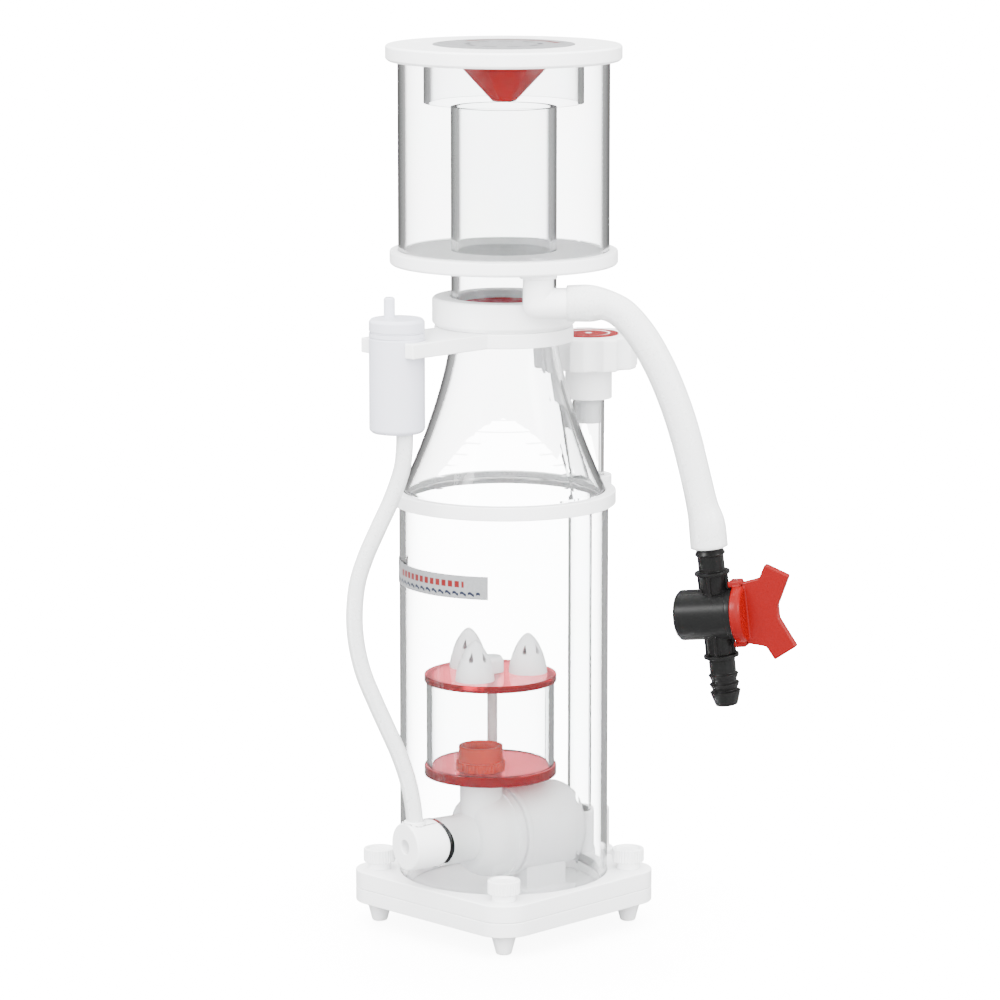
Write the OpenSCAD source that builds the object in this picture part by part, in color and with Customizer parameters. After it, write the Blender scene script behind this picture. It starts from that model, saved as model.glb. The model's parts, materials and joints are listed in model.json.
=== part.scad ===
// Protein skimmer for a small aquarium sump: a clear reaction tube on a screwed base, a flared
// reducer, and a lift-off collection cup, with a needle-wheel pump inside and a level riser behind.
// Millimetres, +Z up. Origin: on the axis of the reaction tube, in the plane of the feet.
// -Y is the side of the air intake and silencer, +Y the side of the outlet riser.

/* [Reaction tube] */
// Outer diameter of the reaction tube, and of the cup's outer tube
tube_od = 100; // [92:1:125]
// Wall of the large clear tubes
tube_wall = 3; // [2:0.5:4]
// Length of the reaction tube
tube_len = 187; // [150:1:260]
// Height of the flared reducer, foot to neck
reducer_h = 83; // [65:1:110]
// How sharply the reducer flares out towards its foot
reducer_flare = 1.48; // [1.2:0.02:2]

/* [Base] */
// Height of each foot
foot_h = 10.5; // [6:0.5:16]
// Thickness of the lower base plate
plate_t = 7; // [5:0.5:10]
// Thickness of the upper base plate, which carries the tube
flange_t = 8.5; // [7:0.5:12]
// Rim of the square base outside the tube, each side
base_rim = 5; // [4:0.5:12]
// Corner radius of the base
corner_r = 15; // [8:1:20]
// Inset of each thumbscrew from the base's edges
screw_inset = 12.5; // [10:0.5:16]
// Diameter of the knurled thumbscrew head
screw_head_d = 15.4; // [12:0.2:17]
// Thread diameter of the thumbscrews
screw_d = 6; // [4:0.5:7]

/* [Neck and cup] */
// Outer diameter of the cup's neck tube
neck_od = 50; // [40:1:60]
// Length of the neck tube
neck_len = 101.8; // [80:0.5:130]
// Outer diameter of the white collar
collar_od = 68; // [62:1:80]
// Height of the collar
collar_h = 14; // [10:0.5:20]
// Gap between the collar and the cup's floor
cup_gap = 15.3; // [12:0.1:24]
// Length of the cup's outer tube
cup_len = 94; // [70:0.5:120]
// Thickness of the cup's floor
cup_floor_t = 7; // [5:0.5:10]
// Thickness of the lid
lid_t = 7.5; // [5:0.5:10]
// Rim of the lid outside the cup tube
lid_rim = 5.7; // [4:0.1:9]
// Outer diameter of the splash skirt under the lid
skirt_od = 75.5; // [62:0.5:84]
// How far the skirt hangs below the lid
skirt_drop = 19.6; // [10:0.1:30]
// Sides of the faceted deflector under the lid
deflector_sides = 7; // [5:1:12]

/* [Riser] */
// Outer diameter of the outlet riser tube
riser_od = 15.5; // [12:0.5:20]
// How far the riser tube's top stands below the cup's floor
riser_drop = 58.3; // [50:0.1:90]
// Overall diameter of the scalloped level knob
knob_od = 49; // [36:1:50]
// Height of the level knob
knob_h = 16; // [10:1:20]
// Lobes on the level knob
knob_lobes = 9; // [6:1:12]

/* [Pump] */
// Distance of the pump's axis above the feet
pump_z = 47.5; // [46:0.5:52]
// Turn of the pump on the base, degrees
pump_turn = -10; // [-14:1:-6]
// Diameter of the pump's motor can
motor_d = 41; // [32:0.2:42]
// Diameter of the intake pipe and the venturi nozzle
intake_d = 23; // [18:0.5:25]
// Diameter of the venturi's front bore
venturi_bore = 6.8; // [4:0.2:10]
// Needles in the outer ring of the impeller
needle_count = 18; // [8:1:24]

/* [Bubble chamber] */
// Diameter of the chamber's two red discs
disc_d = 63; // [58:0.5:66]
// Length of the chamber's clear tube
chamber_len = 40.9; // [25:0.1:60]
// Diameter of each bubble dome
dome_d = 18.4; // [14:0.2:20]

/* [Silencer and hoses] */
// Diameter of the air silencer
silencer_d = 26; // [20:0.5:30]
// Height of the silencer, cap included
silencer_h = 53.5; // [40:0.5:70]
// Outer diameter of the air hose
air_hose_d = 8; // [6:0.5:9]
// Outer diameter of the drain hose
drain_hose_d = 14.5; // [12:0.5:16]

/* [Drain valve] */
// Outer diameter of the valve's barrel
barrel_d = 24; // [20:0.5:28]
// Half the length of the valve, barb tip to centre
valve_half = 44; // [40:1:50]
// Bore through the valve
valve_bore = 8; // [5:0.5:9]

/* [Hidden] */

$fn = 64;
// A cutter starts and ends this far outside what it cuts
past = 1;
// Clearance of a sliding or turning fit, on the radius
running = 0.05;
// Clearance of loose neighbours on different bodies, on the radius
loose = 0.3;

// Levels of the stack, from the feet up
plate_top = foot_h + plate_t;
flange_top = plate_top + flange_t;
tube_seat = 4;
tube_foot = flange_top - tube_seat;
tube_top = tube_foot + tube_len;
ring_seat = 3;
ring_t = 6.5;
ring_bottom = tube_top - ring_seat;
ring_top = ring_bottom + ring_t;
reducer_seat = 2.5;
reducer_foot = ring_top - reducer_seat;
reducer_top = reducer_foot + reducer_h;
neck_straight = 5;
flare_h = reducer_h - reducer_seat - neck_straight;
reducer_lap = 2;
collar_bottom = reducer_top - reducer_lap;
collar_top = collar_bottom + collar_h;
floor_bottom = collar_top + cup_gap;
floor_top = floor_bottom + cup_floor_t;
cup_seat = 3;
cup_foot = floor_top - cup_seat;
cup_top = cup_foot + cup_len;
lid_groove = 2;
lid_bottom = cup_top - lid_groove;
lid_top = lid_bottom + lid_t;
neck_top = reducer_top + neck_len;

// Radii of the large tubes
tube_r = tube_od / 2;
tube_ri = tube_r - tube_wall;
neck_r = neck_od / 2;
neck_ri = neck_r - tube_wall;
ring_r = tube_r + 3.5;
reducer_foot_r = tube_r - 1.4;
reducer_neck_r = neck_r + 0.25;
floor_r = tube_r + 4;

// Collar's seal, the lid's skirt, its vents and its badge
seal_z = collar_top - 8;
seal_h = 4;
collar_seal_r = neck_r + 3;
skirt_r = skirt_od / 2;
skirt_wall = 2.5;
skirt_seat = 1;
vent_r = 1.5;
vent_ring_r = tube_r - 5.5;
badge_r = 33.5;

// Base
base_half = tube_r + base_rim;
screw_at = base_half - screw_inset;
screw_corners = [[-1, -1], [1, -1], [1, 1], [-1, 1]];
screw_neck_d = 11.4;
screw_neck_h = 3.5;
screw_head_h = 6.5;
seal_r = tube_ri + 1.5;
seal_w = 2.6;
seal_t = 1.2;

// Riser, just clear of the reaction tube's back
riser_top = floor_bottom - riser_drop;
riser_r = riser_od / 2;
riser_wall = 1.5;
riser_y = tube_r + riser_r + 0.25;
sleeve_r = riser_r + 3.6;
sleeve_bottom = riser_top - 12;
sleeve_top = riser_top + 3;
control_r = riser_r - riser_wall - loose;
port_z = 34;
port_r = 4.5;
window_z = sleeve_bottom + 3;
window_h = 7;
window_w = 7;
knob_bottom = sleeve_top + 0.2;
knob_disc_r = 14.5;

// Pump: its shaft lies along its own Y, with the volute's centre over the base point
pump_at = [5.4, 29.3 - tube_r];
intake_r = intake_d / 2;
intake_ri = intake_r - 3.5;
nozzle_end = -44;
nozzle_seam = -26.7;
intake_end = -8;
volute_back = 10.6;
volute_r = 20.5;
motor_r = motor_d / 2;
motor_back = 49;
flange_ro = 21.5;
shaft_r = 1.5;
well_r = 9;
well_end = 40;
gland_up = 8;
pump_foot_w = 33;
saddle_w = 25;
wheel_r = 15;
wheel_room_r = 17;
rotor_front = 9.5;
rotor_len = 25;
stub_r = 10;
stub_ri = 8;
disc_bottom = 75;
spigot_outlet_r = 9;
disc_t = 4.8;
boss_at = -38.3;
boss_z = 59.5;
boss_foot_x = -1.3;

// Bubble chamber
chamber_at = [0, pump_at[1] + 11.7];
disc_r = disc_d / 2;
disc_top = disc_bottom + disc_t;
chamber_r = disc_r - 1;
chamber_wall = 2.5;
upper_disc_bottom = disc_top + chamber_len;
upper_disc_t = 3.4;
upper_disc_top = upper_disc_bottom + upper_disc_t;
dome_count = 3;
dome_ring_r = 18;
dome_first = 51.5;
dome_h = 19.2;
dome_curve = 1.25;
slot_r = 1.15;
slot_h = 3.7;
slot_z = dome_h * 0.56;
rod_r = 2.45;
rod_seat = 1.5;
// The rod stands this far from the chamber's centre, clear of the red nozzle
rod_at = [-1, 2.2];
rod_knob_r = 5.5;
rod_knob_h = 8;

// Silencer, in the fork of the bracket
silencer_r = silencer_d / 2;
silencer_y = -tube_r - 20;
silencer_top = collar_bottom + 10;
silencer_bottom = silencer_top - silencer_h;
cap_h = 6.5;
cap_z = silencer_top - cap_h;
nipple_out = 5;
nipple_r = 2.6;
nipple_h = 9.4;
fork_half = 17.5;
bracket_t = 7;
bracket_z = collar_bottom - bracket_t;

// Level label on the reaction tube: from, sweep (degrees), foot, height
label_from = -142;
label_sweep = 88.5;
label_z = tube_top - 41;
label_h = 11;
label_t = 0.35;

// Drain elbow, under the cup's floor
elbow_r = 7.2;
elbow_reach = collar_od / 2 + elbow_r + 0.6;
elbow_angle = -22.5;
elbow_at = [elbow_reach * cos(elbow_angle), elbow_reach * sin(elbow_angle)];
arm_angle = 45;
arm_z = floor_bottom - 13.8;
arm_len = 13.5;
barb_len = 11;
drain_bore_r = 3.2;
spigot_r = 4.2;

// Drain hose: distance out from the elbow's centre, and drop below its arm; it hangs in one
// upright plane
drain_route = [[13.5, 0], [24, 0], [32, 1], [40, 5.5], [48.5, 15.5], [55.5, 27.5], [61, 39.5],
               [66, 53], [70, 66.5], [74, 82.5], [77, 95.5], [79.2, 104.2], [80.4, 115]];
drain_flare = [1.3, 1.3, 0, 0, 0, 0, 0, 0, 0, 0, 0.3, 1.4, 1.6];
drain_points = [for (p = drain_route)
    [elbow_at[0] + p[0] * cos(arm_angle), elbow_at[1] + p[0] * sin(arm_angle), arm_z - p[1]]];

// Air hose: from the silencer's foot, out and round to the venturi's boss, as places beside the
// hose's foot, outside the tube, and drops in parts of the whole
air_drop = silencer_bottom - boss_z;
air_route = [[6.3, 20, 0], [6, 20, 0.04], [4.5, 20.4, 0.093], [0.3, 23, 0.168], [-4.7, 27, 0.242],
             [-9.7, 30.5, 0.316], [-13.2, 32.5, 0.386], [-14.9, 32.8, 0.465],
             [-14.9, 31.5, 0.54], [-13.2, 28.7, 0.614], [-9.9, 24, 0.691], [-6.7, 19.6, 0.758],
             [-3.7, 15.4, 0.822], [-1.5, 12, 0.886], [-0.3, 9.6, 0.949], [0, 8.4, 1]];
air_points = [for (p = air_route)
    [p[0] + boss_foot_x, -tube_r - p[1], silencer_bottom - air_drop * p[2]]];

// Drain valve: centre, lean of its flow axis, and turn of its barrel towards the front
valve_out = 84.2;
valve_drop = 147.2;
valve_at = [elbow_at[0] + valve_out * cos(arm_angle), elbow_at[1] + valve_out * sin(arm_angle),
            arm_z - valve_drop];
valve_lean = -6.7;
valve_turn = -20;
barrel_r = barrel_d / 2;
barrel_left = -18.5;
barrel_right = 10;
ball_r = 8.5;
seat_r = 6.2;
seat_from = 6.8;
seat_to = 9.6;
outlet_step = 0.4;
outlet_len = 12;
wing_t = 4.4;
pipe_r = 6.3;
hub_r = 14.2;
hub_t = 5.2;
hub_x = barrel_right + loose;

// ---- Shared shapes ----------------------------------------------------------------------------

// A plain tube standing on z = 0
module pipe(ro, ri, h) {
    difference() {
        cylinder(r = ro, h = h);
        translate([0, 0, -past])
            cylinder(r = ri, h = h + 2 * past);
    }
}

// A solid of revolution from [radius, height] points
module lathe(points) {
    rotate_extrude($fn = 64)
        polygon(points);
}

// Stands children on local Y, starting at y
module along_y(y) {
    translate([0, y, 0])
        rotate([-90, 0, 0])
            children();
}

// Stands children on local X, starting at x
module along_x(x) {
    translate([x, 0, 0])
        rotate([0, 90, 0])
            children();
}

// A square outline with round corners
module rounded_square(w, r) {
    square([w, w - 2 * r], center = true);
    square([w - 2 * r, w], center = true);
    for (sx = [-1, 1], sy = [-1, 1])
        translate([sx * (w / 2 - r), sy * (w / 2 - r)])
            circle(r = r);
}

// A knurled outline: a circle with round notches
module knurl_outline(r, notches, notch_r) {
    difference() {
        circle(r = r);
        for (i = [0 : notches - 1])
            rotate(i * 360 / notches)
                translate([r + notch_r * 0.35, 0])
                    circle(r = notch_r, $fn = 16);
    }
}

function unit(v) = v / norm(v);
function way(p, i) = unit(p[min(i + 1, len(p) - 1)] - p[max(i - 1, 0)]);
function ring(c, t, r, sides, side) =
    let (s = unit(cross(t, side)), u = cross(s, t))
    [for (k = [0 : sides - 1]) c + r * (cos(360 * k / sides) * s + sin(360 * k / sides) * u)];

// A round hose swept through points; grow[i] is added to its radius at point i
module hose(points, r, sides, side, grow) {
    last = len(points) - 1;
    rings = [for (i = [0 : last])
        each ring(points[i], way(points, i), r + grow[i], sides, side)];
    walls = [for (i = [0 : last - 1], k = [0 : sides - 1])
        [i * sides + k, i * sides + (k + 1) % sides,
         (i + 1) * sides + (k + 1) % sides, (i + 1) * sides + k]];
    foot = [for (k = [sides - 1 : -1 : 0]) k];
    end = [for (k = [0 : sides - 1]) last * sides + k];
    polyhedron(points = rings, faces = concat(walls, [foot, end]), convexity = 6);
}

// Places children in the pump's own frame
module at_pump() {
    translate([pump_at[0], pump_at[1], pump_z])
        rotate([0, 0, pump_turn])
            children();
}

// Places children at the chamber's axis
module at_chamber(z) {
    translate([chamber_at[0], chamber_at[1], z])
        children();
}

// Places children in the drain valve's own frame: flow along Z, handle's axis along X
module at_valve() {
    translate(valve_at)
        rotate([0, 0, arm_angle])
            rotate([0, valve_lean, 0])
                rotate([0, 0, valve_turn])
                    children();
}

// ---- Base -------------------------------------------------------------------------------------

module screw_holes(z, h, clearance) {
    for (c = screw_corners)
        translate([c[0] * screw_at, c[1] * screw_at, z])
            cylinder(r = screw_d / 2 + clearance, h = h);
}

module base_plate() {
    color("white")
    difference() {
        translate([0, 0, foot_h])
            linear_extrude(plate_t)
                rounded_square(2 * base_half, corner_r);
        screw_holes(foot_h - past, plate_t + 2 * past, 0.1);
    }
}

// The upper plate: tube seat, seal groove beneath, and the tongue that carries the riser
module body_flange() {
    color("white")
    difference() {
        translate([0, 0, plate_top])
            linear_extrude(flange_t) {
                rounded_square(2 * base_half, corner_r);
                translate([0, riser_y])
                    circle(r = sleeve_r + 1.5);
            }
        translate([0, 0, plate_top - past])
            cylinder(r = tube_ri - 1, h = flange_t + 2 * past);
        translate([0, 0, tube_foot])
            cylinder(r = tube_r, h = tube_seat + past);
        translate([0, 0, plate_top - past])
            pipe(seal_r + seal_w, seal_r, seal_t + past);
        screw_holes(plate_top - past, flange_t + 2 * past, 0.1);
    }
}

module base_seal() {
    color("gainsboro")
    translate([0, 0, plate_top])
        pipe(seal_r + seal_w, seal_r, seal_t);
}

// Tapered feet, each with the blind thread of its thumbscrew
module feet() {
    color("white")
    difference() {
        for (c = screw_corners)
            translate([c[0] * screw_at, c[1] * screw_at, 0])
                cylinder(r1 = 3.6, r2 = 6.4, h = foot_h);
        screw_holes(foot_h - 5, 5 + past, running);
    }
}

module thumbscrew(corner) {
    color("white")
    translate([corner[0] * screw_at, corner[1] * screw_at, 0]) {
        translate([0, 0, foot_h - 4.7])
            cylinder(r = screw_d / 2, h = flange_top - foot_h + 4.7);
        translate([0, 0, flange_top])
            cylinder(r = screw_neck_d / 2, h = screw_neck_h);
        difference() {
            translate([0, 0, flange_top + screw_neck_h])
                linear_extrude(screw_head_h)
                    knurl_outline(screw_head_d / 2, 28, 0.7);
            translate([0, 0, flange_top + screw_neck_h + screw_head_h - 1])
                cylinder(r = screw_head_d / 2 - 2, h = 1 + past);
        }
    }
}

module thumbscrew_1() { thumbscrew(screw_corners[0]); }
module thumbscrew_2() { thumbscrew(screw_corners[1]); }
module thumbscrew_3() { thumbscrew(screw_corners[2]); }
module thumbscrew_4() { thumbscrew(screw_corners[3]); }

// ---- Reaction tube, ring, reducer -------------------------------------------------------------

// The clear tube, open for the intake in front and the outlet port behind
module body_tube() {
    color("lightcyan", 0.3)
    difference() {
        translate([0, 0, tube_foot])
            pipe(tube_r, tube_ri, tube_len);
        at_pump()
            along_y(-tube_r)
                cylinder(r = intake_r + loose, h = tube_r);
        port_cut(tube_ri - past);
    }
}

// The outlet port's cutter, from y out to the riser's axis
module port_cut(y) {
    translate([0, 0, port_z])
        along_y(y)
            cylinder(r = port_r, h = riser_y - y);
}

module mid_ring() {
    color("white")
    difference() {
        translate([0, 0, ring_bottom])
            linear_extrude(ring_t) {
                circle(r = ring_r);
                translate([0, riser_y])
                    circle(r = riser_r + 3.7);
            }
        translate([0, 0, ring_bottom - past])
            cylinder(r = tube_r, h = ring_seat + past);
        translate([0, 0, ring_bottom])
            cylinder(r = reducer_foot_r - 3.2, h = ring_t + past);
        translate([0, 0, reducer_foot])
            cylinder(r = reducer_foot_r, h = reducer_seat + past);
        translate([0, riser_y, ring_bottom - past])
            cylinder(r = riser_r, h = ring_t + 2 * past);
    }
}

// Outer radius of the reducer at the share t of its flare
function flare_r(t) =
    reducer_neck_r + (reducer_foot_r - reducer_neck_r) * pow(1 - t, reducer_flare);

// The bell-shaped reducer, thick at its foot and straight at its neck
module reducer() {
    steps = 14;
    outer = [for (i = [0 : steps])
        [flare_r(i / steps), ring_top + flare_h * i / steps]];
    inner = [for (i = [steps : -1 : 0])
        [flare_r(i / steps) - tube_wall, ring_top + flare_h * i / steps]];
    color("lightcyan", 0.3)
    lathe(concat([[reducer_foot_r, reducer_foot]], outer,
                 [[reducer_neck_r, reducer_top], [reducer_neck_r - tube_wall, reducer_top]],
                 inner, [[reducer_foot_r - tube_wall, reducer_foot]]));
}

// The collar: laps the reducer's neck below, and guides the cup's neck tube above
module neck_collar() {
    r = collar_od / 2;
    color("white")
    difference() {
        translate([0, 0, collar_bottom])
            lathe([[0, 0], [r - 2, 0], [r, 2], [r, collar_h - 1], [r - 1, collar_h], [0, collar_h]]);
        translate([0, 0, collar_bottom - past])
            cylinder(r = reducer_neck_r, h = reducer_lap + past);
        translate([0, 0, reducer_top - past])
            cylinder(r = neck_r + loose, h = collar_h + past);
        translate([0, 0, seal_z])
            cylinder(r = collar_seal_r, h = seal_h);
    }
}

module collar_seal() {
    color("crimson")
    translate([0, 0, seal_z])
        pipe(collar_seal_r, neck_r + running, seal_h);
}

// ---- Silencer and air line --------------------------------------------------------------------

// The flat bracket: a ring under the collar and a sprung fork round the silencer
module silencer_bracket() {
    mouth = silencer_r - 1.2;
    hole_r = flare_r((bracket_z - ring_top) / flare_h) + running;
    color("white")
    translate([0, 0, bracket_z])
        linear_extrude(bracket_t)
            difference() {
                union() {
                    circle(r = collar_od / 2 - 1);
                    translate([-fork_half, silencer_y - 6.5])
                        square([2 * fork_half, -silencer_y + 6.5]);
                }
                circle(r = hole_r);
                translate([0, silencer_y])
                    circle(r = silencer_r);
                translate([-mouth, silencer_y - 14])
                    square([2 * mouth, 14 - 5]);
            }
}

module silencer_body() {
    color("lavender")
    translate([0, silencer_y, 0]) {
        difference() {
            translate([0, 0, silencer_bottom])
                lathe([[0, 0], [silencer_r - 1.5, 0], [silencer_r, 1.5],
                       [silencer_r, silencer_h - cap_h], [0, silencer_h - cap_h]]);
            translate([0, 0, silencer_bottom + 2.5])
                cylinder(r = silencer_r - 2, h = silencer_h);
            translate([5, 0, silencer_bottom - past])
                cylinder(r = 1.4, h = 2.5 + 2 * past);
        }
        translate([5, 0, silencer_bottom - 9])
            pipe(2.6, 1.4, 9);
    }
}

module silencer_cap() {
    color("lavender")
    translate([0, silencer_y, 0])
        difference() {
            union() {
                translate([0, 0, cap_z])
                    lathe([[0, 0], [silencer_r, 0], [silencer_r, cap_h - 1.2],
                           [silencer_r - 1.2, cap_h], [0, cap_h]]);
                translate([-nipple_out, 0, silencer_top])
                    lathe([[0, 0], [nipple_r, 0], [nipple_r, nipple_h - 0.8],
                           [nipple_r - 0.8, nipple_h], [0, nipple_h]]);
            }
            translate([-nipple_out, 0, cap_z - past])
                cylinder(r = 1.5, h = cap_h + nipple_h + 2 * past);
        }
}

module silencer_foam() {
    color("dimgray")
    translate([0, silencer_y, silencer_bottom + 2.5])
        cylinder(r = silencer_r - 2, h = cap_z - silencer_bottom - 2.5);
}

module air_hose() {
    color("whitesmoke")
    hose(air_points, air_hose_d / 2, 10, [1, -1, 0], [for (p = air_points) 0]);
}

// ---- Pump -------------------------------------------------------------------------------------

// The nozzle on the intake: a small front bore, a throat, and the air boss on top
module venturi_nozzle() {
    length = nozzle_seam - nozzle_end;
    mouth_r = venturi_bore / 2;
    color("white")
    at_pump() {
        difference() {
            union() {
                along_y(nozzle_end)
                    lathe([[0, 0], [intake_r - 0.6, 0], [intake_r, 0.6], [intake_r, length],
                           [0, length]]);
                translate([0, boss_at, 0])
                    cylinder(r = 5.2, h = boss_z - pump_z);
            }
            along_y(nozzle_end)
                lathe([[0, -past], [mouth_r, -past], [mouth_r, length - 7],
                       [intake_ri, length - 1], [intake_ri, length + past], [0, length + past]]);
            translate([0, boss_at, 0])
                cylinder(r = 1.8, h = boss_z - pump_z + past);
        }
    }
}

module intake_pipe() {
    color("white")
    at_pump()
        along_y(nozzle_seam)
            pipe(intake_r, intake_ri, intake_end - nozzle_seam);
}

// The rounded volute: suction eye in front, the impeller's chamber, and the outlet stub on top
module volute_outline() {
    steps = 10;
    polygon(concat([[0, intake_end], [intake_r + 1.5, intake_end]],
        [for (i = [0 : steps])
            [intake_r + 1.5 + (volute_r - intake_r - 1.5) * sin(90 * i / steps),
             intake_end + 11 - 11 * cos(90 * i / steps)]],
        [[volute_r, volute_back - 2.6], [flange_ro, volute_back - 2.6], [flange_ro, volute_back],
         [0, volute_back]]));
}

module pump_volute() {
    hub_y = intake_end + 1;
    color("white")
    difference() {
        union() {
            at_pump()
                rotate([-90, 0, 0])
                    rotate_extrude($fn = 64)
                        volute_outline();
            translate([pump_at[0], pump_at[1], pump_z])
                cylinder(r = stub_r, h = disc_bottom - pump_z);
        }
        at_pump() {
            along_y(hub_y + 4)
                cylinder(r = wheel_room_r, h = volute_back - hub_y - 4 + past);
            along_y(intake_end - stub_r)
                cylinder(r = intake_r, h = stub_r);
            difference() {
                along_y(intake_end - past)
                    cylinder(r = intake_ri, h = 8);
                along_y(hub_y)
                    cylinder(r = 3.4, h = 4);
                for (a = [90, 210, 330])
                    translate([0, hub_y, 0])
                        rotate([0, a, 0])
                            translate([0, 0, -0.8])
                                cube([intake_ri + past, 4, 1.6]);
            }
            along_y(hub_y - past)
                cylinder(r = shaft_r + 1, h = 4 + 2 * past);
        }
        translate([pump_at[0], pump_at[1], pump_z])
            cylinder(r = stub_ri, h = disc_bottom - pump_z + past);
    }
}

// The sealed motor can, with the rotor's well and its clamping flange
module pump_motor() {
    flange_gap = 1.6;
    color("white")
    at_pump()
        difference() {
            along_y(0)
                lathe([[0, volute_back], [flange_ro, volute_back], [flange_ro, volute_back + 1],
                       [motor_r - 1, volute_back + 1], [motor_r - 1, volute_back + 1 + flange_gap],
                       [flange_ro, volute_back + 1 + flange_gap], [flange_ro, volute_back + 5],
                       [motor_r, volute_back + 5.6], [motor_r, motor_back - 4],
                       [motor_r - 1.2, motor_back - 1.2], [motor_r - 4, motor_back],
                       [0, motor_back]]);
            along_y(volute_back - past)
                cylinder(r = well_r, h = well_end - 4 - volute_back + past);
            along_y(well_end - 5)
                cylinder(r = shaft_r + 1, h = 5);
            along_y(volute_back - past)
                difference() {
                    cylinder(r = 19.5, h = 0.8 + past);
                    cylinder(r = 17.8, h = 3 * past);
                }
            gland_socket_cut();
        }
}

// The round socket for the cable gland in the can's back
module gland_socket_cut() {
    translate([0, 0, gland_up])
        along_y(motor_back - 4)
            cylinder(r = 3.6, h = 4 + past);
}

module pump_oring() {
    color("black")
    at_pump()
        along_y(volute_back)
            pipe(19.5, 17.8, 0.8);
}

module cable_gland() {
    color("dimgray")
    at_pump()
        translate([0, 0, gland_up])
            along_y(motor_back - 4)
                difference() {
                    lathe([[0, 0], [3.6, 0], [3.6, 4], [4.6, 4], [4.6, 5.2], [3.4, 5.8],
                           [3, 8], [0, 8]]);
                    translate([0, 0, 1])
                        cylinder(r = 1.9, h = 8);
                }
}

// The foot: a plate on the base with a saddle shaped to the can
module pump_foot() {
    color("white")
    at_pump()
        translate([0, 0, plate_top - pump_z])
            difference() {
                union() {
                    translate([-pump_foot_w / 2, 15, 0])
                        cube([pump_foot_w, 29, 3]);
                    translate([-saddle_w / 2, 18, 0])
                        cube([saddle_w, 23, pump_z - plate_top - 10]);
                }
                translate([0, 0, pump_z - plate_top])
                    along_y(0)
                        cylinder(r = motor_r, h = 60);
            }
}

module front_bush() {
    color("ivory")
    at_pump()
        along_y(intake_end + 1)
            pipe(shaft_r + 1, shaft_r + running, 4);
}

module rear_bush() {
    color("ivory")
    at_pump()
        along_y(well_end - 4)
            pipe(shaft_r + 1, shaft_r + running, 3.5);
}

// The needle wheel: a disc, a hub, and two rings of needles facing the suction eye
module impeller() {
    color("crimson")
    at_pump()
        difference() {
            union() {
                along_y(6)
                    cylinder(r = wheel_r, h = 1.8);
                along_y(-2.5)
                    cylinder(r = 3.6, h = rotor_front + 2.5);
                for (i = [0 : needle_count - 1])
                    rotate([0, i * 360 / needle_count, 0])
                        translate([wheel_r - 1.6, 0, 0])
                            along_y(-1.5)
                                cylinder(r = 0.7, h = 8, $fn = 16);
                for (i = [0 : needle_count / 2 - 1])
                    rotate([0, i * 720 / needle_count, 0])
                        translate([wheel_r - 6.5, 0, 0])
                            along_y(-1.5)
                                cylinder(r = 0.7, h = 8, $fn = 16);
            }
            along_y(-4)
                cylinder(r = shaft_r, h = rotor_front + 6);
        }
}

module rotor_magnet() {
    color("dimgray")
    at_pump()
        along_y(rotor_front)
            pipe(well_r - 0.8, shaft_r, rotor_len);
}

module pump_shaft() {
    color("silver")
    at_pump()
        along_y(intake_end + 1.2)
            cylinder(r = shaft_r, h = well_end - intake_end - 1.9);
}

// ---- Bubble chamber ---------------------------------------------------------------------------

// The lower disc rests on the pump's stub; its hole takes the red nozzle's spigot
module chamber_lower_disc() {
    color("crimson", 0.6)
    difference() {
        at_chamber(disc_bottom)
            cylinder(r = disc_r, h = disc_t);
        translate([pump_at[0], pump_at[1], disc_bottom - past])
            cylinder(r = spigot_outlet_r, h = disc_t + 2 * past);
        at_chamber(disc_top - rod_seat)
            translate(rod_at)
                cylinder(r = rod_r, h = rod_seat + past);
    }
}

module chamber_tube() {
    color("lightcyan", 0.3)
    at_chamber(disc_top)
        pipe(chamber_r, chamber_r - chamber_wall, chamber_len);
}

// The upper disc, drilled under each dome and for the tie rod
module chamber_upper_disc() {
    color("crimson", 0.6)
    at_chamber(upper_disc_bottom)
        difference() {
            cylinder(r = disc_r, h = upper_disc_t);
            for (i = [0 : dome_count - 1])
                rotate([0, 0, dome_first + i * 360 / dome_count])
                    translate([dome_ring_r, 0, -past])
                        cylinder(r = dome_d / 2 - 3, h = upper_disc_t + 2 * past);
            translate([rod_at[0], rod_at[1], -past])
                cylinder(r = rod_r, h = upper_disc_t + 2 * past);
        }
}

// The red outlet nozzle: spigot through the disc, knurled ring, plain throat
module outlet_nozzle() {
    ring_h = 4.5;
    throat_r = 10.25;
    throat_h = 7.4;
    color("crimson")
    translate([pump_at[0], pump_at[1], disc_bottom])
        difference() {
            union() {
                cylinder(r = spigot_outlet_r, h = disc_t);
                translate([0, 0, disc_t])
                    linear_extrude(ring_h)
                        knurl_outline(11.35, 36, 0.6);
                translate([0, 0, disc_t + ring_h])
                    cylinder(r = throat_r, h = throat_h);
            }
            translate([0, 0, -past])
                cylinder(r = stub_ri - 0.5, h = disc_t + ring_h + throat_h + 2 * past);
            translate([0, 0, disc_t + ring_h + throat_h - 2])
                cylinder(r1 = stub_ri - 0.5, r2 = throat_r - 0.8, h = 2 + past);
        }
}

// The outline of a dome's slot: round below, pointed above
module teardrop() {
    circle(r = slot_r, $fn = 24);
    polygon([[-slot_r * 0.94, slot_r * 0.34], [slot_r * 0.94, slot_r * 0.34], [0, slot_h]]);
}

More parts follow.
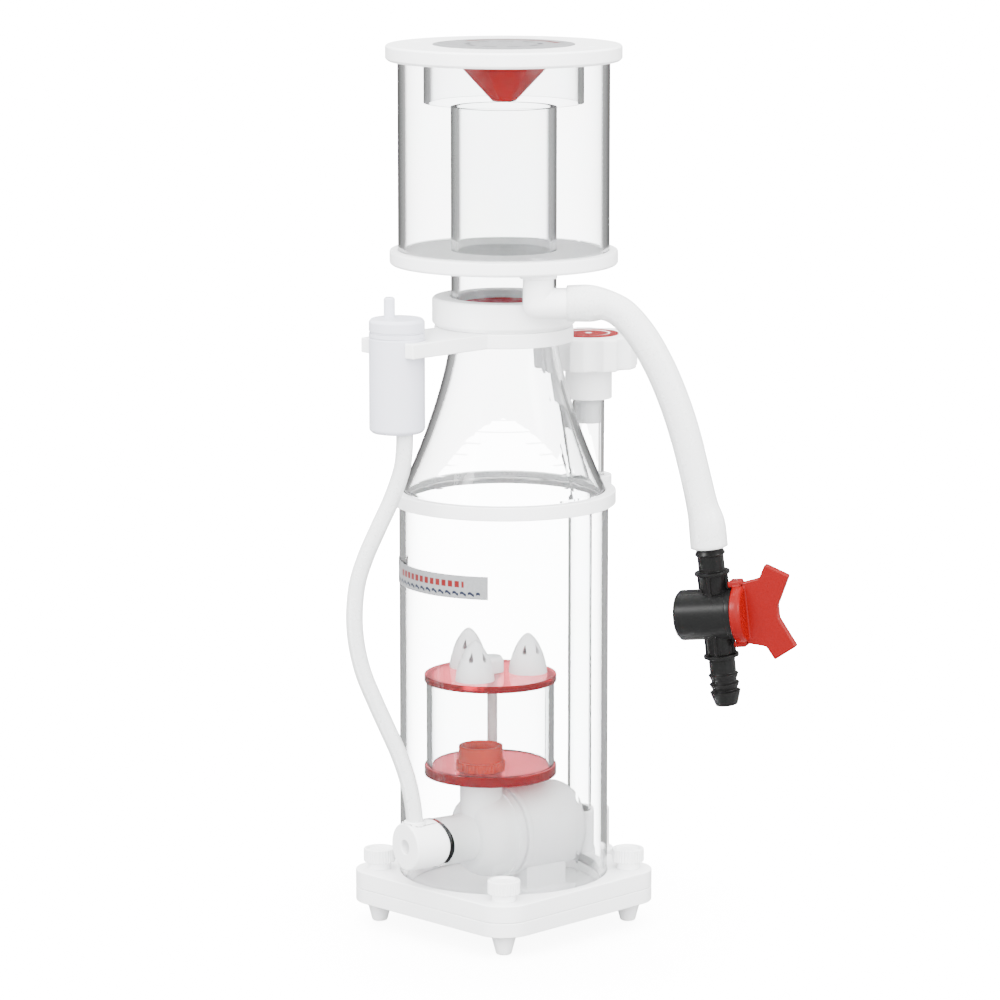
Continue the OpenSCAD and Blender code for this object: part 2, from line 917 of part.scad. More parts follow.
// An egg-shaped dome with a ring of teardrop slots; hollow and open below
module bubble_dome(index) {
    steps = 10;
    wall = 1.4;
    r = dome_d / 2;
    outer = [for (i = [0 : steps])
        [r * pow(cos(90 * i / steps), dome_curve),
         dome_h * pow(sin(90 * i / steps), dome_curve)]];
    inner = [for (i = [steps : -1 : 0])
        [(r - wall) * pow(cos(90 * i / steps), dome_curve),
         (dome_h - wall) * pow(sin(90 * i / steps), dome_curve)]];
    color("white")
    at_chamber(upper_disc_top)
        rotate([0, 0, dome_first + index * 360 / dome_count])
            translate([dome_ring_r, 0, 0])
                difference() {
                    lathe(concat(outer, inner));
                    for (a = [0 : 60 : 300])
                        rotate([0, 0, a + 8])
                            translate([1.5, 0, slot_z])
                                rotate([90, 0, 90])
                                    linear_extrude(r)
                                        teardrop();
                }
}

module bubble_dome_1() { bubble_dome(0); }
module bubble_dome_2() { bubble_dome(1); }
module bubble_dome_3() { bubble_dome(2); }

module chamber_rod() {
    color("mistyrose")
    at_chamber(disc_top - rod_seat)
        translate(rod_at)
            cylinder(r = rod_r, h = upper_disc_top - disc_top + rod_seat);
}

module chamber_knob() {
    color("white")
    at_chamber(upper_disc_top)
        translate(rod_at)
            lathe([[0, 0], [rod_knob_r, 0], [rod_knob_r, rod_knob_h - 2.4],
                   [rod_knob_r - 1.3, rod_knob_h], [0, rod_knob_h]]);
}

module chamber_nut() {
    nut_h = 1.8;
    color("white")
    at_chamber(upper_disc_bottom - nut_h)
        translate(rod_at)
            pipe(rod_r + 1.55, rod_r, nut_h);
}

// ---- Outlet riser and its level control --------------------------------------------------------

// The socket that hugs the back of the reaction tube and joins its port to the riser
module riser_socket() {
    socket_h = 20;
    color("white")
    difference() {
        translate([0, riser_y, flange_top])
            cylinder(r = sleeve_r - 0.4, h = socket_h);
        translate([0, 0, flange_top - past])
            cylinder(r = tube_r, h = socket_h + 2 * past);
        translate([0, riser_y, flange_top])
            cylinder(r = riser_r, h = socket_h + past);
        port_cut(tube_ri);
    }
}

module riser_tube() {
    color("lightcyan", 0.3)
    difference() {
        translate([0, riser_y, flange_top])
            pipe(riser_r, riser_r - riser_wall, riser_top - flange_top);
        port_cut(tube_ri);
        window_cut(riser_r + past);
    }
}

// The overflow window's cutter, facing away from the reaction tube
module window_cut(reach) {
    translate([-window_w / 2, riser_y, window_z])
        cube([window_w, reach, window_h]);
}

module riser_sleeve() {
    color("white")
    difference() {
        translate([0, riser_y, sleeve_bottom])
            pipe(sleeve_r, riser_r, sleeve_top - sleeve_bottom);
        window_cut(sleeve_r + past);
    }
}

// The inner tube turned by the knob: its window meets the sleeve's, or closes it
module control_tube() {
    bottom = sleeve_bottom - 12;
    color("whitesmoke")
    difference() {
        translate([0, riser_y, bottom])
            pipe(control_r, control_r - 1.2, knob_bottom + 4 - bottom);
        window_cut(control_r + past);
    }
}

// The scalloped knob: round lobes about a core, with a shallow recess for the disc
module level_knob() {
    lobe_r = knob_od * 0.12;
    color("white")
    difference() {
        translate([0, riser_y, knob_bottom])
            linear_extrude(knob_h)
                difference() {
                    circle(r = knob_od / 2 - 0.6);
                    for (i = [0 : knob_lobes - 1])
                        rotate(i * 360 / knob_lobes)
                            translate([knob_od / 2 + lobe_r * 0.45, 0])
                                circle(r = lobe_r);
                }
        translate([0, riser_y, knob_bottom - past])
            cylinder(r = control_r, h = 4 + past);
        translate([0, riser_y, knob_bottom + knob_h - 0.6])
            cylinder(r = knob_disc_r, h = 0.6 + past);
    }
}

module level_knob_disc() {
    color("crimson")
    translate([0, riser_y, knob_bottom + knob_h - 0.6])
        cylinder(r = knob_disc_r, h = 1);
}

module level_label() {
    color("silver")
    translate([0, 0, label_z])
        rotate([0, 0, label_from])
            rotate_extrude(angle = label_sweep, $fn = 96)
                translate([tube_r, 0])
                    square([label_t, label_h]);
}

// ---- Collection cup ----------------------------------------------------------------------------

// The cup's floor: grooved for its tube, bored for the neck tube and the drain spigot
module cup_floor() {
    color("white")
    difference() {
        translate([0, 0, floor_bottom])
            lathe([[0, 0], [floor_r - 1, 0], [floor_r, 1], [floor_r, cup_floor_t - 0.6],
                   [floor_r - 0.6, cup_floor_t], [0, cup_floor_t]]);
        translate([0, 0, floor_bottom - past])
            cylinder(r = neck_r, h = cup_floor_t + 2 * past);
        translate([0, 0, cup_foot])
            pipe(tube_r, tube_ri, cup_seat + past);
        translate([elbow_at[0], elbow_at[1], floor_bottom - past])
            cylinder(r = spigot_r, h = cup_floor_t + 2 * past);
    }
}

module cup_tube() {
    color("lightcyan", 0.3)
    translate([0, 0, cup_foot])
        pipe(tube_r, tube_ri, cup_len);
}

module neck_tube() {
    color("lightcyan", 0.3)
    translate([0, 0, reducer_top])
        pipe(neck_r, neck_ri, neck_len);
}

// ---- Lid ---------------------------------------------------------------------------------------

// The lid: a groove over the cup tube's rim, a seat for the skirt, and four small vents
module lid() {
    r = tube_r + lid_rim;
    color("white")
    difference() {
        translate([0, 0, lid_bottom])
            lathe([[0, 0], [r - 1.2, 0], [r, 1.2], [r, lid_t - 0.8], [r - 0.8, lid_t],
                   [0, lid_t]]);
        translate([0, 0, lid_bottom - past])
            pipe(tube_r + loose / 2, tube_ri - loose / 2, lid_groove + past);
        translate([0, 0, lid_bottom - past])
            pipe(skirt_r, skirt_r - skirt_wall, skirt_seat + past);
        for (a = [22.5 : 90 : 292.5])
            rotate([0, 0, a])
                translate([vent_ring_r, 0, lid_bottom - past])
                    cylinder(r = vent_r, h = lid_t + 2 * past, $fn = 24);
        translate([0, 0, lid_top - 0.4])
            cylinder(r = badge_r, h = 0.4 + past);
    }
}

module lid_badge() {
    color("silver")
    translate([0, 0, lid_top - 0.4])
        cylinder(r = badge_r, h = 0.5);
}

module lid_skirt() {
    color("lightcyan", 0.3)
    translate([0, 0, lid_bottom - skirt_drop])
        pipe(skirt_r, skirt_r - skirt_wall, skirt_drop + skirt_seat);
}

// The faceted cone that sheds drips back from the middle of the lid
module lid_deflector() {
    color("crimson")
    translate([0, 0, lid_bottom - skirt_drop + 0.6])
        rotate([0, 0, -45 - 180 / deflector_sides + 5])
            cylinder(r1 = 5.6, r2 = 23.5, h = skirt_drop - 0.6, $fn = deflector_sides);
}

// ---- Drain -------------------------------------------------------------------------------------

// The white elbow: spigot up through the floor, a round bend, and a barbed arm
module drain_elbow() {
    flange_h = 2;
    color("white")
    translate([elbow_at[0], elbow_at[1], 0])
        rotate([0, 0, arm_angle])
            difference() {
                union() {
                    translate([0, 0, floor_bottom - flange_h])
                        cylinder(r = elbow_r + 1.6, h = flange_h);
                    translate([0, 0, floor_bottom])
                        cylinder(r = spigot_r, h = cup_floor_t);
                    translate([0, 0, arm_z])
                        cylinder(r = elbow_r, h = floor_bottom - arm_z);
                    translate([0, 0, arm_z])
                        sphere(r = elbow_r);
                    translate([0, 0, arm_z])
                        along_x(0)
                            cylinder(r = elbow_r, h = arm_len);
                    translate([0, 0, arm_z])
                        along_x(arm_len)
                            lathe([[0, 0], [5.2, 0], [5.2, barb_len - 4], [6.2, barb_len - 3.4],
                                   [5, barb_len], [0, barb_len]]);
                }
                translate([0, 0, arm_z])
                    cylinder(r = drain_bore_r, h = floor_top - arm_z + past);
                translate([0, 0, arm_z])
                    sphere(r = drain_bore_r);
                translate([0, 0, arm_z])
                    along_x(0)
                        cylinder(r = drain_bore_r, h = arm_len + barb_len + past);
            }
}

module drain_hose() {
    color("white")
    hose(drain_points, drain_hose_d / 2, 12,
         [-sin(arm_angle), cos(arm_angle), 0], drain_flare);
}

// Half of the valve's barbed pipe, from the barrel out to the tip
module valve_branch() {
    lathe([[0, 0], [pipe_r, 0], [pipe_r, 19], [8.4, 19.2], [8.4, 20.8], [pipe_r, 21],
           [pipe_r, valve_half - 15.8], [7.3, valve_half - 15], [6, valve_half - 12.2],
           [6, valve_half - 11.4], [7.3, valve_half - 10.6], [5.9, valve_half - 7.8],
           [5.9, valve_half - 7.4], [7.4, valve_half - 6.8], [5.2, valve_half], [0, valve_half]]);
    for (a = [0, 90])
        rotate([0, 0, a])
            translate([-7.6, -0.7, 0])
                cube([15.2, 1.4, 19.5]);
}

// The black body: a barrel across, a barbed pipe along, and the ball's chamber
module valve_body() {
    color("black")
    at_valve()
        difference() {
            union() {
                along_x(barrel_left)
                    lathe([[0, 0], [barrel_r - 1.5, 0], [barrel_r, 1.5],
                           [barrel_r, barrel_right - barrel_left - 2.8],
                           [barrel_r + 0.5, barrel_right - barrel_left - 2.6],
                           [barrel_r + 0.5, barrel_right - barrel_left],
                           [0, barrel_right - barrel_left]]);
                valve_branch();
                rotate([180, 0, 0])
                    valve_branch();
            }
            sphere(r = ball_r + running);
            translate([0, 0, -valve_half - past])
                cylinder(r = valve_bore / 2, h = 2 * (valve_half + past));
            translate([0, 0, -valve_half - past])
                cylinder(r = valve_bore / 2 + outlet_step, h = outlet_len + past);
            for (side = [0, 180])
                rotate([side, 0, 0])
                    translate([0, 0, seat_from - past])
                        cylinder(r = seat_r, h = seat_to - seat_from + past);
            along_x(0)
                cylinder(r = 3 + running, h = barrel_right + past);
        }
}

// The ball's two seats, dished to the ball
module valve_seats() {
    color("ivory")
    at_valve()
        for (side = [0, 180])
            rotate([side, 0, 0])
                difference() {
                    translate([0, 0, seat_from])
                        pipe(seat_r, valve_bore / 2, seat_to - seat_from);
                    sphere(r = ball_r + running);
                }
}

// The ball, bored along the flow when open, with the stem that the handle turns
module valve_ball() {
    color("whitesmoke")
    at_valve()
        difference() {
            union() {
                sphere(r = ball_r);
                along_x(0)
                    cylinder(r = 3, h = hub_x);
            }
            translate([0, 0, -ball_r - past])
                cylinder(r = valve_bore / 2, h = 2 * (ball_r + past));
        }
}

// The red handle: hub, two hooks over the barrel's lip, and a notched wing
module valve_handle() {
    hook_r = barrel_r + 0.9;
    hook_t = 3;
    hook_w = 8;
    color("red")
    at_valve() {
        along_x(hub_x)
            lathe([[0, 0], [hub_r, 0], [hub_r, hub_t - 1.4], [hub_r - 1.4, hub_t], [0, hub_t]]);
        for (side = [-1, 1])
            translate([barrel_right - 2, -hook_w / 2, side * (hook_r + hook_t / 2) - hook_t / 2])
                cube([hub_x + 2 - barrel_right + hub_t - 1.6, hook_w, hook_t]);
        translate([0, wing_t / 2, 0])
            rotate([90, 0, 0])
                linear_extrude(wing_t)
                    polygon([[hub_x + 1, -14], [23, -16.5], [26.5, -23], [37.7, -17], [30.7, -3],
                             [30.7, 3], [37.7, 17], [26.5, 23], [23, 16.5], [hub_x + 1, 14]]);
    }
}

base_plate();
body_flange();
base_seal();
feet();
body_tube();
mid_ring();
reducer();
neck_collar();
collar_seal();
silencer_bracket();
silencer_body();
silencer_cap();
silencer_foam();
air_hose();
venturi_nozzle();
intake_pipe();
pump_volute();
pump_motor();
pump_foot();
pump_oring();
front_bush();
rear_bush();
cable_gland();
impeller();
rotor_magnet();
pump_shaft();
chamber_lower_disc();
chamber_tube();
chamber_upper_disc();
outlet_nozzle();
bubble_dome_1();
bubble_dome_2();
bubble_dome_3();
chamber_rod();
chamber_knob();
chamber_nut();
riser_socket();
riser_tube();
riser_sleeve();
control_tube();
level_knob();
level_knob_disc();
level_label();
thumbscrew_1();
thumbscrew_2();
thumbscrew_3();
thumbscrew_4();
cup_floor();
cup_tube();
neck_tube();
lid();
lid_skirt();
lid_deflector();
lid_badge();
drain_elbow();
drain_hose();
valve_body();
valve_seats();
valve_ball();
valve_handle();
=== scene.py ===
import json
import math

import bmesh
import bpy
import numpy as np
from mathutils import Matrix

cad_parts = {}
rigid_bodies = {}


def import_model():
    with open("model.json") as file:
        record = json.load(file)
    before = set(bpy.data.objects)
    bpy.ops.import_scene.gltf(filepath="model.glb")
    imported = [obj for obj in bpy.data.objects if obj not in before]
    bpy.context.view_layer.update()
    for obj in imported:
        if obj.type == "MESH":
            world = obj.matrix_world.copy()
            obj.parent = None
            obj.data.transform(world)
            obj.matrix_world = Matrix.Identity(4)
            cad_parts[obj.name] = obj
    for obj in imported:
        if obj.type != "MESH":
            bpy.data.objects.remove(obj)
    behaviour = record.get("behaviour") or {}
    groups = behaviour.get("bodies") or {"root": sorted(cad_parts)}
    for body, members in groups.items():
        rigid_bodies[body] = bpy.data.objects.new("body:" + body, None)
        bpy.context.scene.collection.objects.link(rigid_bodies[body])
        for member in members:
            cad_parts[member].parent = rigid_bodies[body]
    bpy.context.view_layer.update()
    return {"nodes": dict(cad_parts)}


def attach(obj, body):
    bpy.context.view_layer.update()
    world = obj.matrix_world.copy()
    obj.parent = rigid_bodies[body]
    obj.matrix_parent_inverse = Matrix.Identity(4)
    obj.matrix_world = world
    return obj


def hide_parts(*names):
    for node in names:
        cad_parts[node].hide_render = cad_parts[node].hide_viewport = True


for leftover in list(bpy.data.objects):
    bpy.data.objects.remove(leftover)
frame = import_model()
nodes = frame["nodes"]

# ---- Camera -----------------------------------------------------------------------------------
# A long lens a little above the lid, square on to the corner of the base between the air intake
# and the drain, and level enough that the tubes stand nearly parallel.
camera_data = bpy.data.cameras.new("camera")
camera_data.lens = 160.8
camera_data.shift_x = -0.0038
camera = bpy.data.objects.new("camera", camera_data)
bpy.context.scene.collection.objects.link(camera)
camera_range, camera_height, camera_pitch = 2.098, 0.5816, 10.13
camera_side = math.radians(45)
camera.location = (camera_range * math.sin(camera_side), -camera_range * math.cos(camera_side),
                   camera_height)
camera.rotation_euler = (math.radians(90 - camera_pitch), 0, camera_side)
bpy.context.scene.camera = camera

# ---- Studio -----------------------------------------------------------------------------------
# A white room seen straight on, whose walls fall away to grey at the camera's left and right, so
# clear tubes get dark rims. A large soft light stands at each side, over a small pale floor.


def node_math(tree, operation, *values):
    """A Math node whose inputs are linked to sockets or set to numbers; returns its output."""
    node = tree.nodes.new("ShaderNodeMath")
    node.operation = operation
    for socket, value in zip(node.inputs, values):
        if isinstance(value, bpy.types.NodeSocket):
            tree.links.new(value, socket)
        else:
            socket.default_value = value
    return node.outputs[0]


def mixed(tree, factor, first, second):
    """first (1 - factor) + second factor, of two colours that are sockets or red, green, blue."""
    mix = tree.nodes.new("ShaderNodeMix")
    mix.data_type = "RGBA"
    tree.links.new(factor, mix.inputs["Factor"])
    for socket, colour in ((mix.inputs["A"], first), (mix.inputs["B"], second)):
        if isinstance(colour, bpy.types.NodeSocket):
            tree.links.new(colour, socket)
        else:
            socket.default_value = (*colour, 1)
    return mix.outputs["Result"]


def studio_world():
    """Three rooms by ray: what the camera sees, straight or through acrylic, is bright and
    narrow; what reflects is dim; what lights is soft. Each falls with |direction . side|."""
    world = bpy.data.worlds.new("studio")
    world.use_nodes = True
    tree = world.node_tree
    direction = tree.nodes.new("ShaderNodeTexCoord")
    sideways = tree.nodes.new("ShaderNodeVectorMath")
    sideways.operation = "DOT_PRODUCT"
    sideways.inputs[1].default_value = (math.cos(camera_side), math.sin(camera_side), 0)
    tree.links.new(direction.outputs["Generated"], sideways.inputs[0])
    aside = node_math(tree, "ABSOLUTE", sideways.outputs["Value"])
    rooms = []
    for start, end, bright, dark in ((0.12, 0.42, seen_white, 1.1), (0.25, 0.8, 0.2, 0.85),
                                     (0.15, 0.85, 12.0, 2.4)):
        room = tree.nodes.new("ShaderNodeMapRange")
        room.interpolation_type = "SMOOTHSTEP"
        room.inputs["From Min"].default_value = start
        room.inputs["From Max"].default_value = end
        room.inputs["To Min"].default_value = bright
        room.inputs["To Max"].default_value = dark
        tree.links.new(aside, room.inputs["Value"])
        rooms.append(room)
    path = tree.nodes.new("ShaderNodeLightPath")
    shown = rooms[0].outputs["Result"]
    for depth, room in zip(("Glossy Depth", "Diffuse Depth"), rooms[1:]):
        choice = tree.nodes.new("ShaderNodeMix")
        choice.clamp_factor = True
        tree.links.new(path.outputs[depth], choice.inputs["Factor"])
        tree.links.new(shown, choice.inputs["A"])
        tree.links.new(room.outputs["Result"], choice.inputs["B"])
        shown = choice.outputs["Result"]
    background = tree.nodes["Background"]
    background.inputs["Color"].default_value = (1, 1, 1, 1)
    tree.links.new(shown, background.inputs["Strength"])
    return world


seen_white = 17.0
bpy.context.scene.world = studio_world()


def softbox(name, toward, height, size, power):
    """An area light at the end of `toward`, a direction in the plan, aimed at mid height."""
    light = bpy.data.lights.new(name, "AREA")
    light.shape = "DISK"
    light.size = size
    light.energy = power
    box = bpy.data.objects.new(name, light)
    bpy.context.scene.collection.objects.link(box)
    box.location = (toward[0], toward[1], height)
    aim = np.array([0, 0, 0.22]) - np.array(box.location)
    box.rotation_euler = (math.acos(-aim[2] / np.linalg.norm(aim)), 0,
                          math.atan2(aim[1], aim[0]) - math.pi / 2)
    return box


softbox("light_left", (-0.3, -1.7), 1.1, 0.8, 20)
softbox("light_right", (1.8, 0.5), 0.8, 0.6, 10)

floor_half = 1.1
floor_mesh = bpy.data.meshes.new("floor")
floor_mesh.from_pydata([(-floor_half, -floor_half, 0), (floor_half, -floor_half, 0),
                        (floor_half, floor_half, 0), (-floor_half, floor_half, 0)],
                       [], [(0, 1, 2, 3)])
floor = bpy.data.objects.new("floor", floor_mesh)
bpy.context.scene.collection.objects.link(floor)
floor.location = (0, 0, -0.0004)


def floor_material():
    """Matt pale paper that glows more to a direct or clear view the further it lies out, so it
    runs into the white room, and is dark and unlit to every bounced ray."""
    material = bpy.data.materials.new("floor_paper")
    material.use_nodes = True
    tree = material.node_tree
    shader = tree.nodes["Principled BSDF"]
    shader.inputs["Roughness"].default_value = 0.7
    shader.inputs["Emission Color"].default_value = (1, 1, 1, 1)
    place = tree.nodes.new("ShaderNodeTexCoord")
    distance = tree.nodes.new("ShaderNodeVectorMath")
    distance.operation = "LENGTH"
    rise = tree.nodes.new("ShaderNodeMapRange")
    rise.inputs["From Min"].default_value = 0.1
    rise.inputs["From Max"].default_value = 0.6
    rise.inputs["To Min"].default_value = 9.0
    rise.inputs["To Max"].default_value = seen_white
    tree.links.new(place.outputs["Object"], distance.inputs[0])
    tree.links.new(distance.outputs["Value"], rise.inputs["Value"])
    path = tree.nodes.new("ShaderNodeLightPath")
    bounced = node_math(tree, "ADD", path.outputs["Diffuse Depth"], path.outputs["Glossy Depth"])
    tree.links.new(mixed(tree, bounced, (0.9, 0.9, 0.9), (0.10, 0.10, 0.10)),
                   shader.inputs["Base Color"])
    unbounced = node_math(tree, "MAXIMUM", node_math(tree, "SUBTRACT", 1, bounced), 0)
    tree.links.new(node_math(tree, "MULTIPLY", rise.outputs["Result"], unbounced),
                   shader.inputs["Emission Strength"])
    return material


floor_mesh.materials.append(floor_material())

# ---- Hoses ------------------------------------------------------------------------------------
# Soft milky PVC tubing. The drain hose is pushed over the elbow's barb, arches out and hangs to
# the valve; the air hose runs from under the silencer round to the venturi. The drain hose swells
# on its barbs.


def smooth_route(points, per_span):
    """Catmull-Rom through the points: each span is the cubic of its four nearest points."""
    p = np.asarray(points, float)
    p = np.vstack([2 * p[0] - p[1], p, 2 * p[-1] - p[-2]])
    t = np.linspace(0, 1, per_span, endpoint=False)[:, None]
    a, b, c, d = p[:-3, None], p[1:-2, None], p[2:-1, None], p[3:, None]
    spans = 0.5 * (2 * b + (c - a) * t + (2 * a - 5 * b + 4 * c - d) * t ** 2
                   + (3 * b - a - 3 * c + d) * t ** 3)
    return np.vstack([spans.reshape(-1, p.shape[1]), p[-2]])


def grid_mesh(name, points, wrap_rows, wrap_columns):
    """A mesh from a grid of points: quads between neighbours, joined round where it wraps."""
    rows, columns = points.shape[:2]
    row = np.arange(rows if wrap_rows else rows - 1)[:, None]
    column = np.arange(columns if wrap_columns else columns - 1)[None, :]
    next_row, next_column = (row + 1) % rows, (column + 1) % columns
    faces = np.stack([row * columns + column, row * columns + next_column,
                      next_row * columns + next_column, next_row * columns + column], axis=-1)
    mesh = bpy.data.meshes.new(name)
    mesh.from_pydata(points.reshape(-1, 3).tolist(), [], faces.reshape(-1, 4).tolist())
    mesh.validate()
    return mesh


def new_piece(name, mesh, material, body, node):
    """Puts a finished mesh in the scene at the origin, smooth, in its material, on its body, in
    place of a CAD part."""
    piece = bpy.data.objects.new(name, mesh)
    bpy.context.scene.collection.objects.link(piece)
    mesh.materials.append(material)
    mesh.polygons.foreach_set("use_smooth", np.ones(len(mesh.polygons), bool))
    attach(piece, body)
    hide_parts(node)
    return piece


def hose_mesh(name, route, radius, wall, side):
    """Circles of the given radius at right angles to the route, out along the outside and back
    along the bore: point = centre + radius (cos a . side' + sin a . up')."""
    way = np.gradient(route, axis=0)
    way /= np.linalg.norm(way, axis=1)[:, None]
    across = np.cross(way, np.asarray(side, float))
    across /= np.linalg.norm(across, axis=1)[:, None]
    up = np.cross(across, way)
    turn = np.linspace(0, 2 * math.pi, 40, endpoint=False)[None, :, None]
    circle = np.cos(turn) * across[:, None] + np.sin(turn) * up[:, None]
    outside = route[:, None] + circle * radius[:, None, None]
    bore = route[:, None] + circle * (radius - wall)[:, None, None]
    lip_start = 0.5 * (outside[:1] + bore[:1]) - way[0] * wall * 0.25
    lip_end = 0.5 * (outside[-1:] + bore[-1:]) + way[-1] * wall * 0.25
    return grid_mesh(name, np.concatenate([lip_start, outside, lip_end, bore[::-1]]), True, True)


def add_socket(tree, name, kind, is_input, value=None):
    """One named socket on a node group's interface, with its default if it has one."""
    socket = tree.interface.new_socket(name=name, in_out="INPUT" if is_input else "OUTPUT",
                                       socket_type=kind)
    if value is not None:
        socket.default_value = value
    return socket


def noise(tree, vector, **settings):
    """A Noise texture read at the vector; returns its node."""
    texture = tree.nodes.new("ShaderNodeTexNoise")
    tree.links.new(vector, texture.inputs["Vector"])
    for socket, value in settings.items():
        texture.inputs[socket].default_value = value
    return texture


def bumped(tree, strength, height, distance, out):
    """Feeds a group's Normal from a bump of the height, in metres of distance."""
    bump = tree.nodes.new("ShaderNodeBump")
    bump.inputs["Distance"].default_value = distance
    tree.links.new(strength, bump.inputs["Strength"])
    tree.links.new(height, bump.inputs["Height"])
    tree.links.new(bump.outputs["Normal"], out.inputs["Normal"])


def moulding_group():
    """What every moulded surface shows: a cloudy tint, a fine orange-peel skin, and faint
    handling marks that change the gloss. Noise at three scales, read from Object coordinates."""
    tree = bpy.data.node_groups.new("moulded_skin", "ShaderNodeTree")
    add_socket(tree, "Tint", "NodeSocketColor", True, (0.8, 0.8, 0.8, 1))
    add_socket(tree, "Shade", "NodeSocketColor", True, (0.7, 0.7, 0.7, 1))
    add_socket(tree, "Cloud", "NodeSocketFloat", True, 0.3)
    add_socket(tree, "Gloss", "NodeSocketFloat", True, 0.35)
    add_socket(tree, "Marks", "NodeSocketFloat", True, 0.12)
    add_socket(tree, "Peel", "NodeSocketFloat", True, 0.05)
    add_socket(tree, "Peel size", "NodeSocketFloat", True, 1400.0)
    add_socket(tree, "Color", "NodeSocketColor", False)
    add_socket(tree, "Roughness", "NodeSocketFloat", False)
    add_socket(tree, "Normal", "NodeSocketVector", False)
    inside, out = tree.nodes.new("NodeGroupInput"), tree.nodes.new("NodeGroupOutput")
    place = tree.nodes.new("ShaderNodeTexCoord").outputs["Object"]
    cloud = noise(tree, place, Scale=34, Detail=3)
    marks = noise(tree, place, Scale=210, Detail=6, Roughness=0.7)
    peel = noise(tree, place, Detail=2)
    tree.links.new(inside.outputs["Peel size"], peel.inputs["Scale"])
    share = node_math(tree, "MULTIPLY", cloud.outputs["Fac"], inside.outputs["Cloud"])
    tree.links.new(mixed(tree, share, inside.outputs["Tint"], inside.outputs["Shade"]),
                   out.inputs["Color"])
    tree.links.new(node_math(tree, "MULTIPLY_ADD", marks.outputs["Fac"],
                             inside.outputs["Marks"], inside.outputs["Gloss"]),
                   out.inputs["Roughness"])
    bumped(tree, inside.outputs["Peel"], peel.outputs["Fac"], 0.0004, out)
    return tree


moulded_skin = moulding_group()


def plastic(name, tint, shade, gloss, cloud=0.35, marks=0.12, peel=0.06, peel_size=1400.0,
            **sockets):
    """A moulded material: the moulded skin feeds colour, roughness and normal; the rest is set
    on the shader's own sockets."""
    material = bpy.data.materials.new(name)
    material.use_nodes = True
    tree = material.node_tree
    shader = tree.nodes["Principled BSDF"]
    skin = tree.nodes.new("ShaderNodeGroup")
    skin.node_tree = moulded_skin
    skin.inputs["Tint"].default_value = (*tint, 1)
    skin.inputs["Shade"].default_value = (*shade, 1)
    skin.inputs["Cloud"].default_value = cloud
    skin.inputs["Gloss"].default_value = gloss
    skin.inputs["Marks"].default_value = marks
    skin.inputs["Peel"].default_value = peel
    skin.inputs["Peel size"].default_value = peel_size
    tree.links.new(skin.outputs["Color"], shader.inputs["Base Color"])
    tree.links.new(skin.outputs["Roughness"], shader.inputs["Roughness"])
    tree.links.new(skin.outputs["Normal"], shader.inputs["Normal"])
    for socket, value in sockets.items():
        shader.inputs[socket.replace("_", " ")].default_value = value
    return material


milky_pvc = plastic("milky_pvc", (0.86, 0.87, 0.87), (0.74, 0.76, 0.77), 0.22, peel=0.03,
                    Transmission_Weight=0.22, IOR=1.45, Coat_Weight=0.25, Coat_Roughness=0.12)

# The drain hose: distance out from the elbow, and height; it hangs in one upright plane.
elbow_from_axis, elbow_bearing = 0.0418, math.radians(-22.5)
elbow_x = elbow_from_axis * math.cos(elbow_bearing)
elbow_y = elbow_from_axis * math.sin(elbow_bearing)
drain_route = np.array([
    (0.0135, 0.3065), (0.024, 0.3065), (0.032, 0.3055), (0.040, 0.301), (0.0485, 0.291),
    (0.0555, 0.279), (0.061, 0.267), (0.066, 0.2535), (0.070, 0.240), (0.074, 0.224),
    (0.077, 0.211), (0.0792, 0.2023), (0.0804, 0.1915)])
drain_points = np.column_stack([elbow_x + drain_route[:, 0] * math.sqrt(0.5),
                                elbow_y + drain_route[:, 0] * math.sqrt(0.5),
                                drain_route[:, 1]])
drain_path = smooth_route(drain_points, 8)
drain_d, drain_wall = 0.0145, 0.0018
drain_swell = smooth_route([(s,) for s in (0.0012, 0.0014, 0, 0, 0, 0, 0, 0, 0, 0, 0.0003, 0.0014,
                                            0.0016)], 8)[:, 0]
drain_hose = new_piece("drain_hose_soft",
                       hose_mesh("drain_hose_soft", drain_path, drain_d / 2 + drain_swell,
                                 drain_wall, (-1, 1, 0)),
                       milky_pvc, "cup", "drain_hose")

# The air hose, from the spigot under the silencer to the boss on the venturi.
air_route = np.array([
    (0.005, -0.070, 0.2475), (0.0047, -0.070, 0.240), (0.0032, -0.0704, 0.230),
    (-0.001, -0.073, 0.216), (-0.006, -0.077, 0.202), (-0.011, -0.0805, 0.188),
    (-0.0145, -0.0825, 0.175), (-0.0162, -0.0828, 0.160), (-0.0162, -0.0815, 0.146),
    (-0.0145, -0.0787, 0.132), (-0.0112, -0.074, 0.1175), (-0.008, -0.0696, 0.105),
    (-0.005, -0.0654, 0.093), (-0.0028, -0.062, 0.081), (-0.0016, -0.0596, 0.069),
    (-0.0013, -0.0584, 0.0595)])
air_path = smooth_route(air_route, 8)
air_d, air_wall = 0.008, 0.0014
air_hose = new_piece("air_hose_soft",
                     hose_mesh("air_hose_soft", air_path, np.full(len(air_path), air_d / 2),
                               air_wall, (1, -1, 0)),
                     milky_pvc, "root", "air_hose")

# ---- Base and feet ----------------------------------------------------------------------------
# Two square plates of machined white ABS with a dark seal between them, on four tapered feet
# turned from the same stock. The plates' edges are eased by hand, the feet's rims rounded.


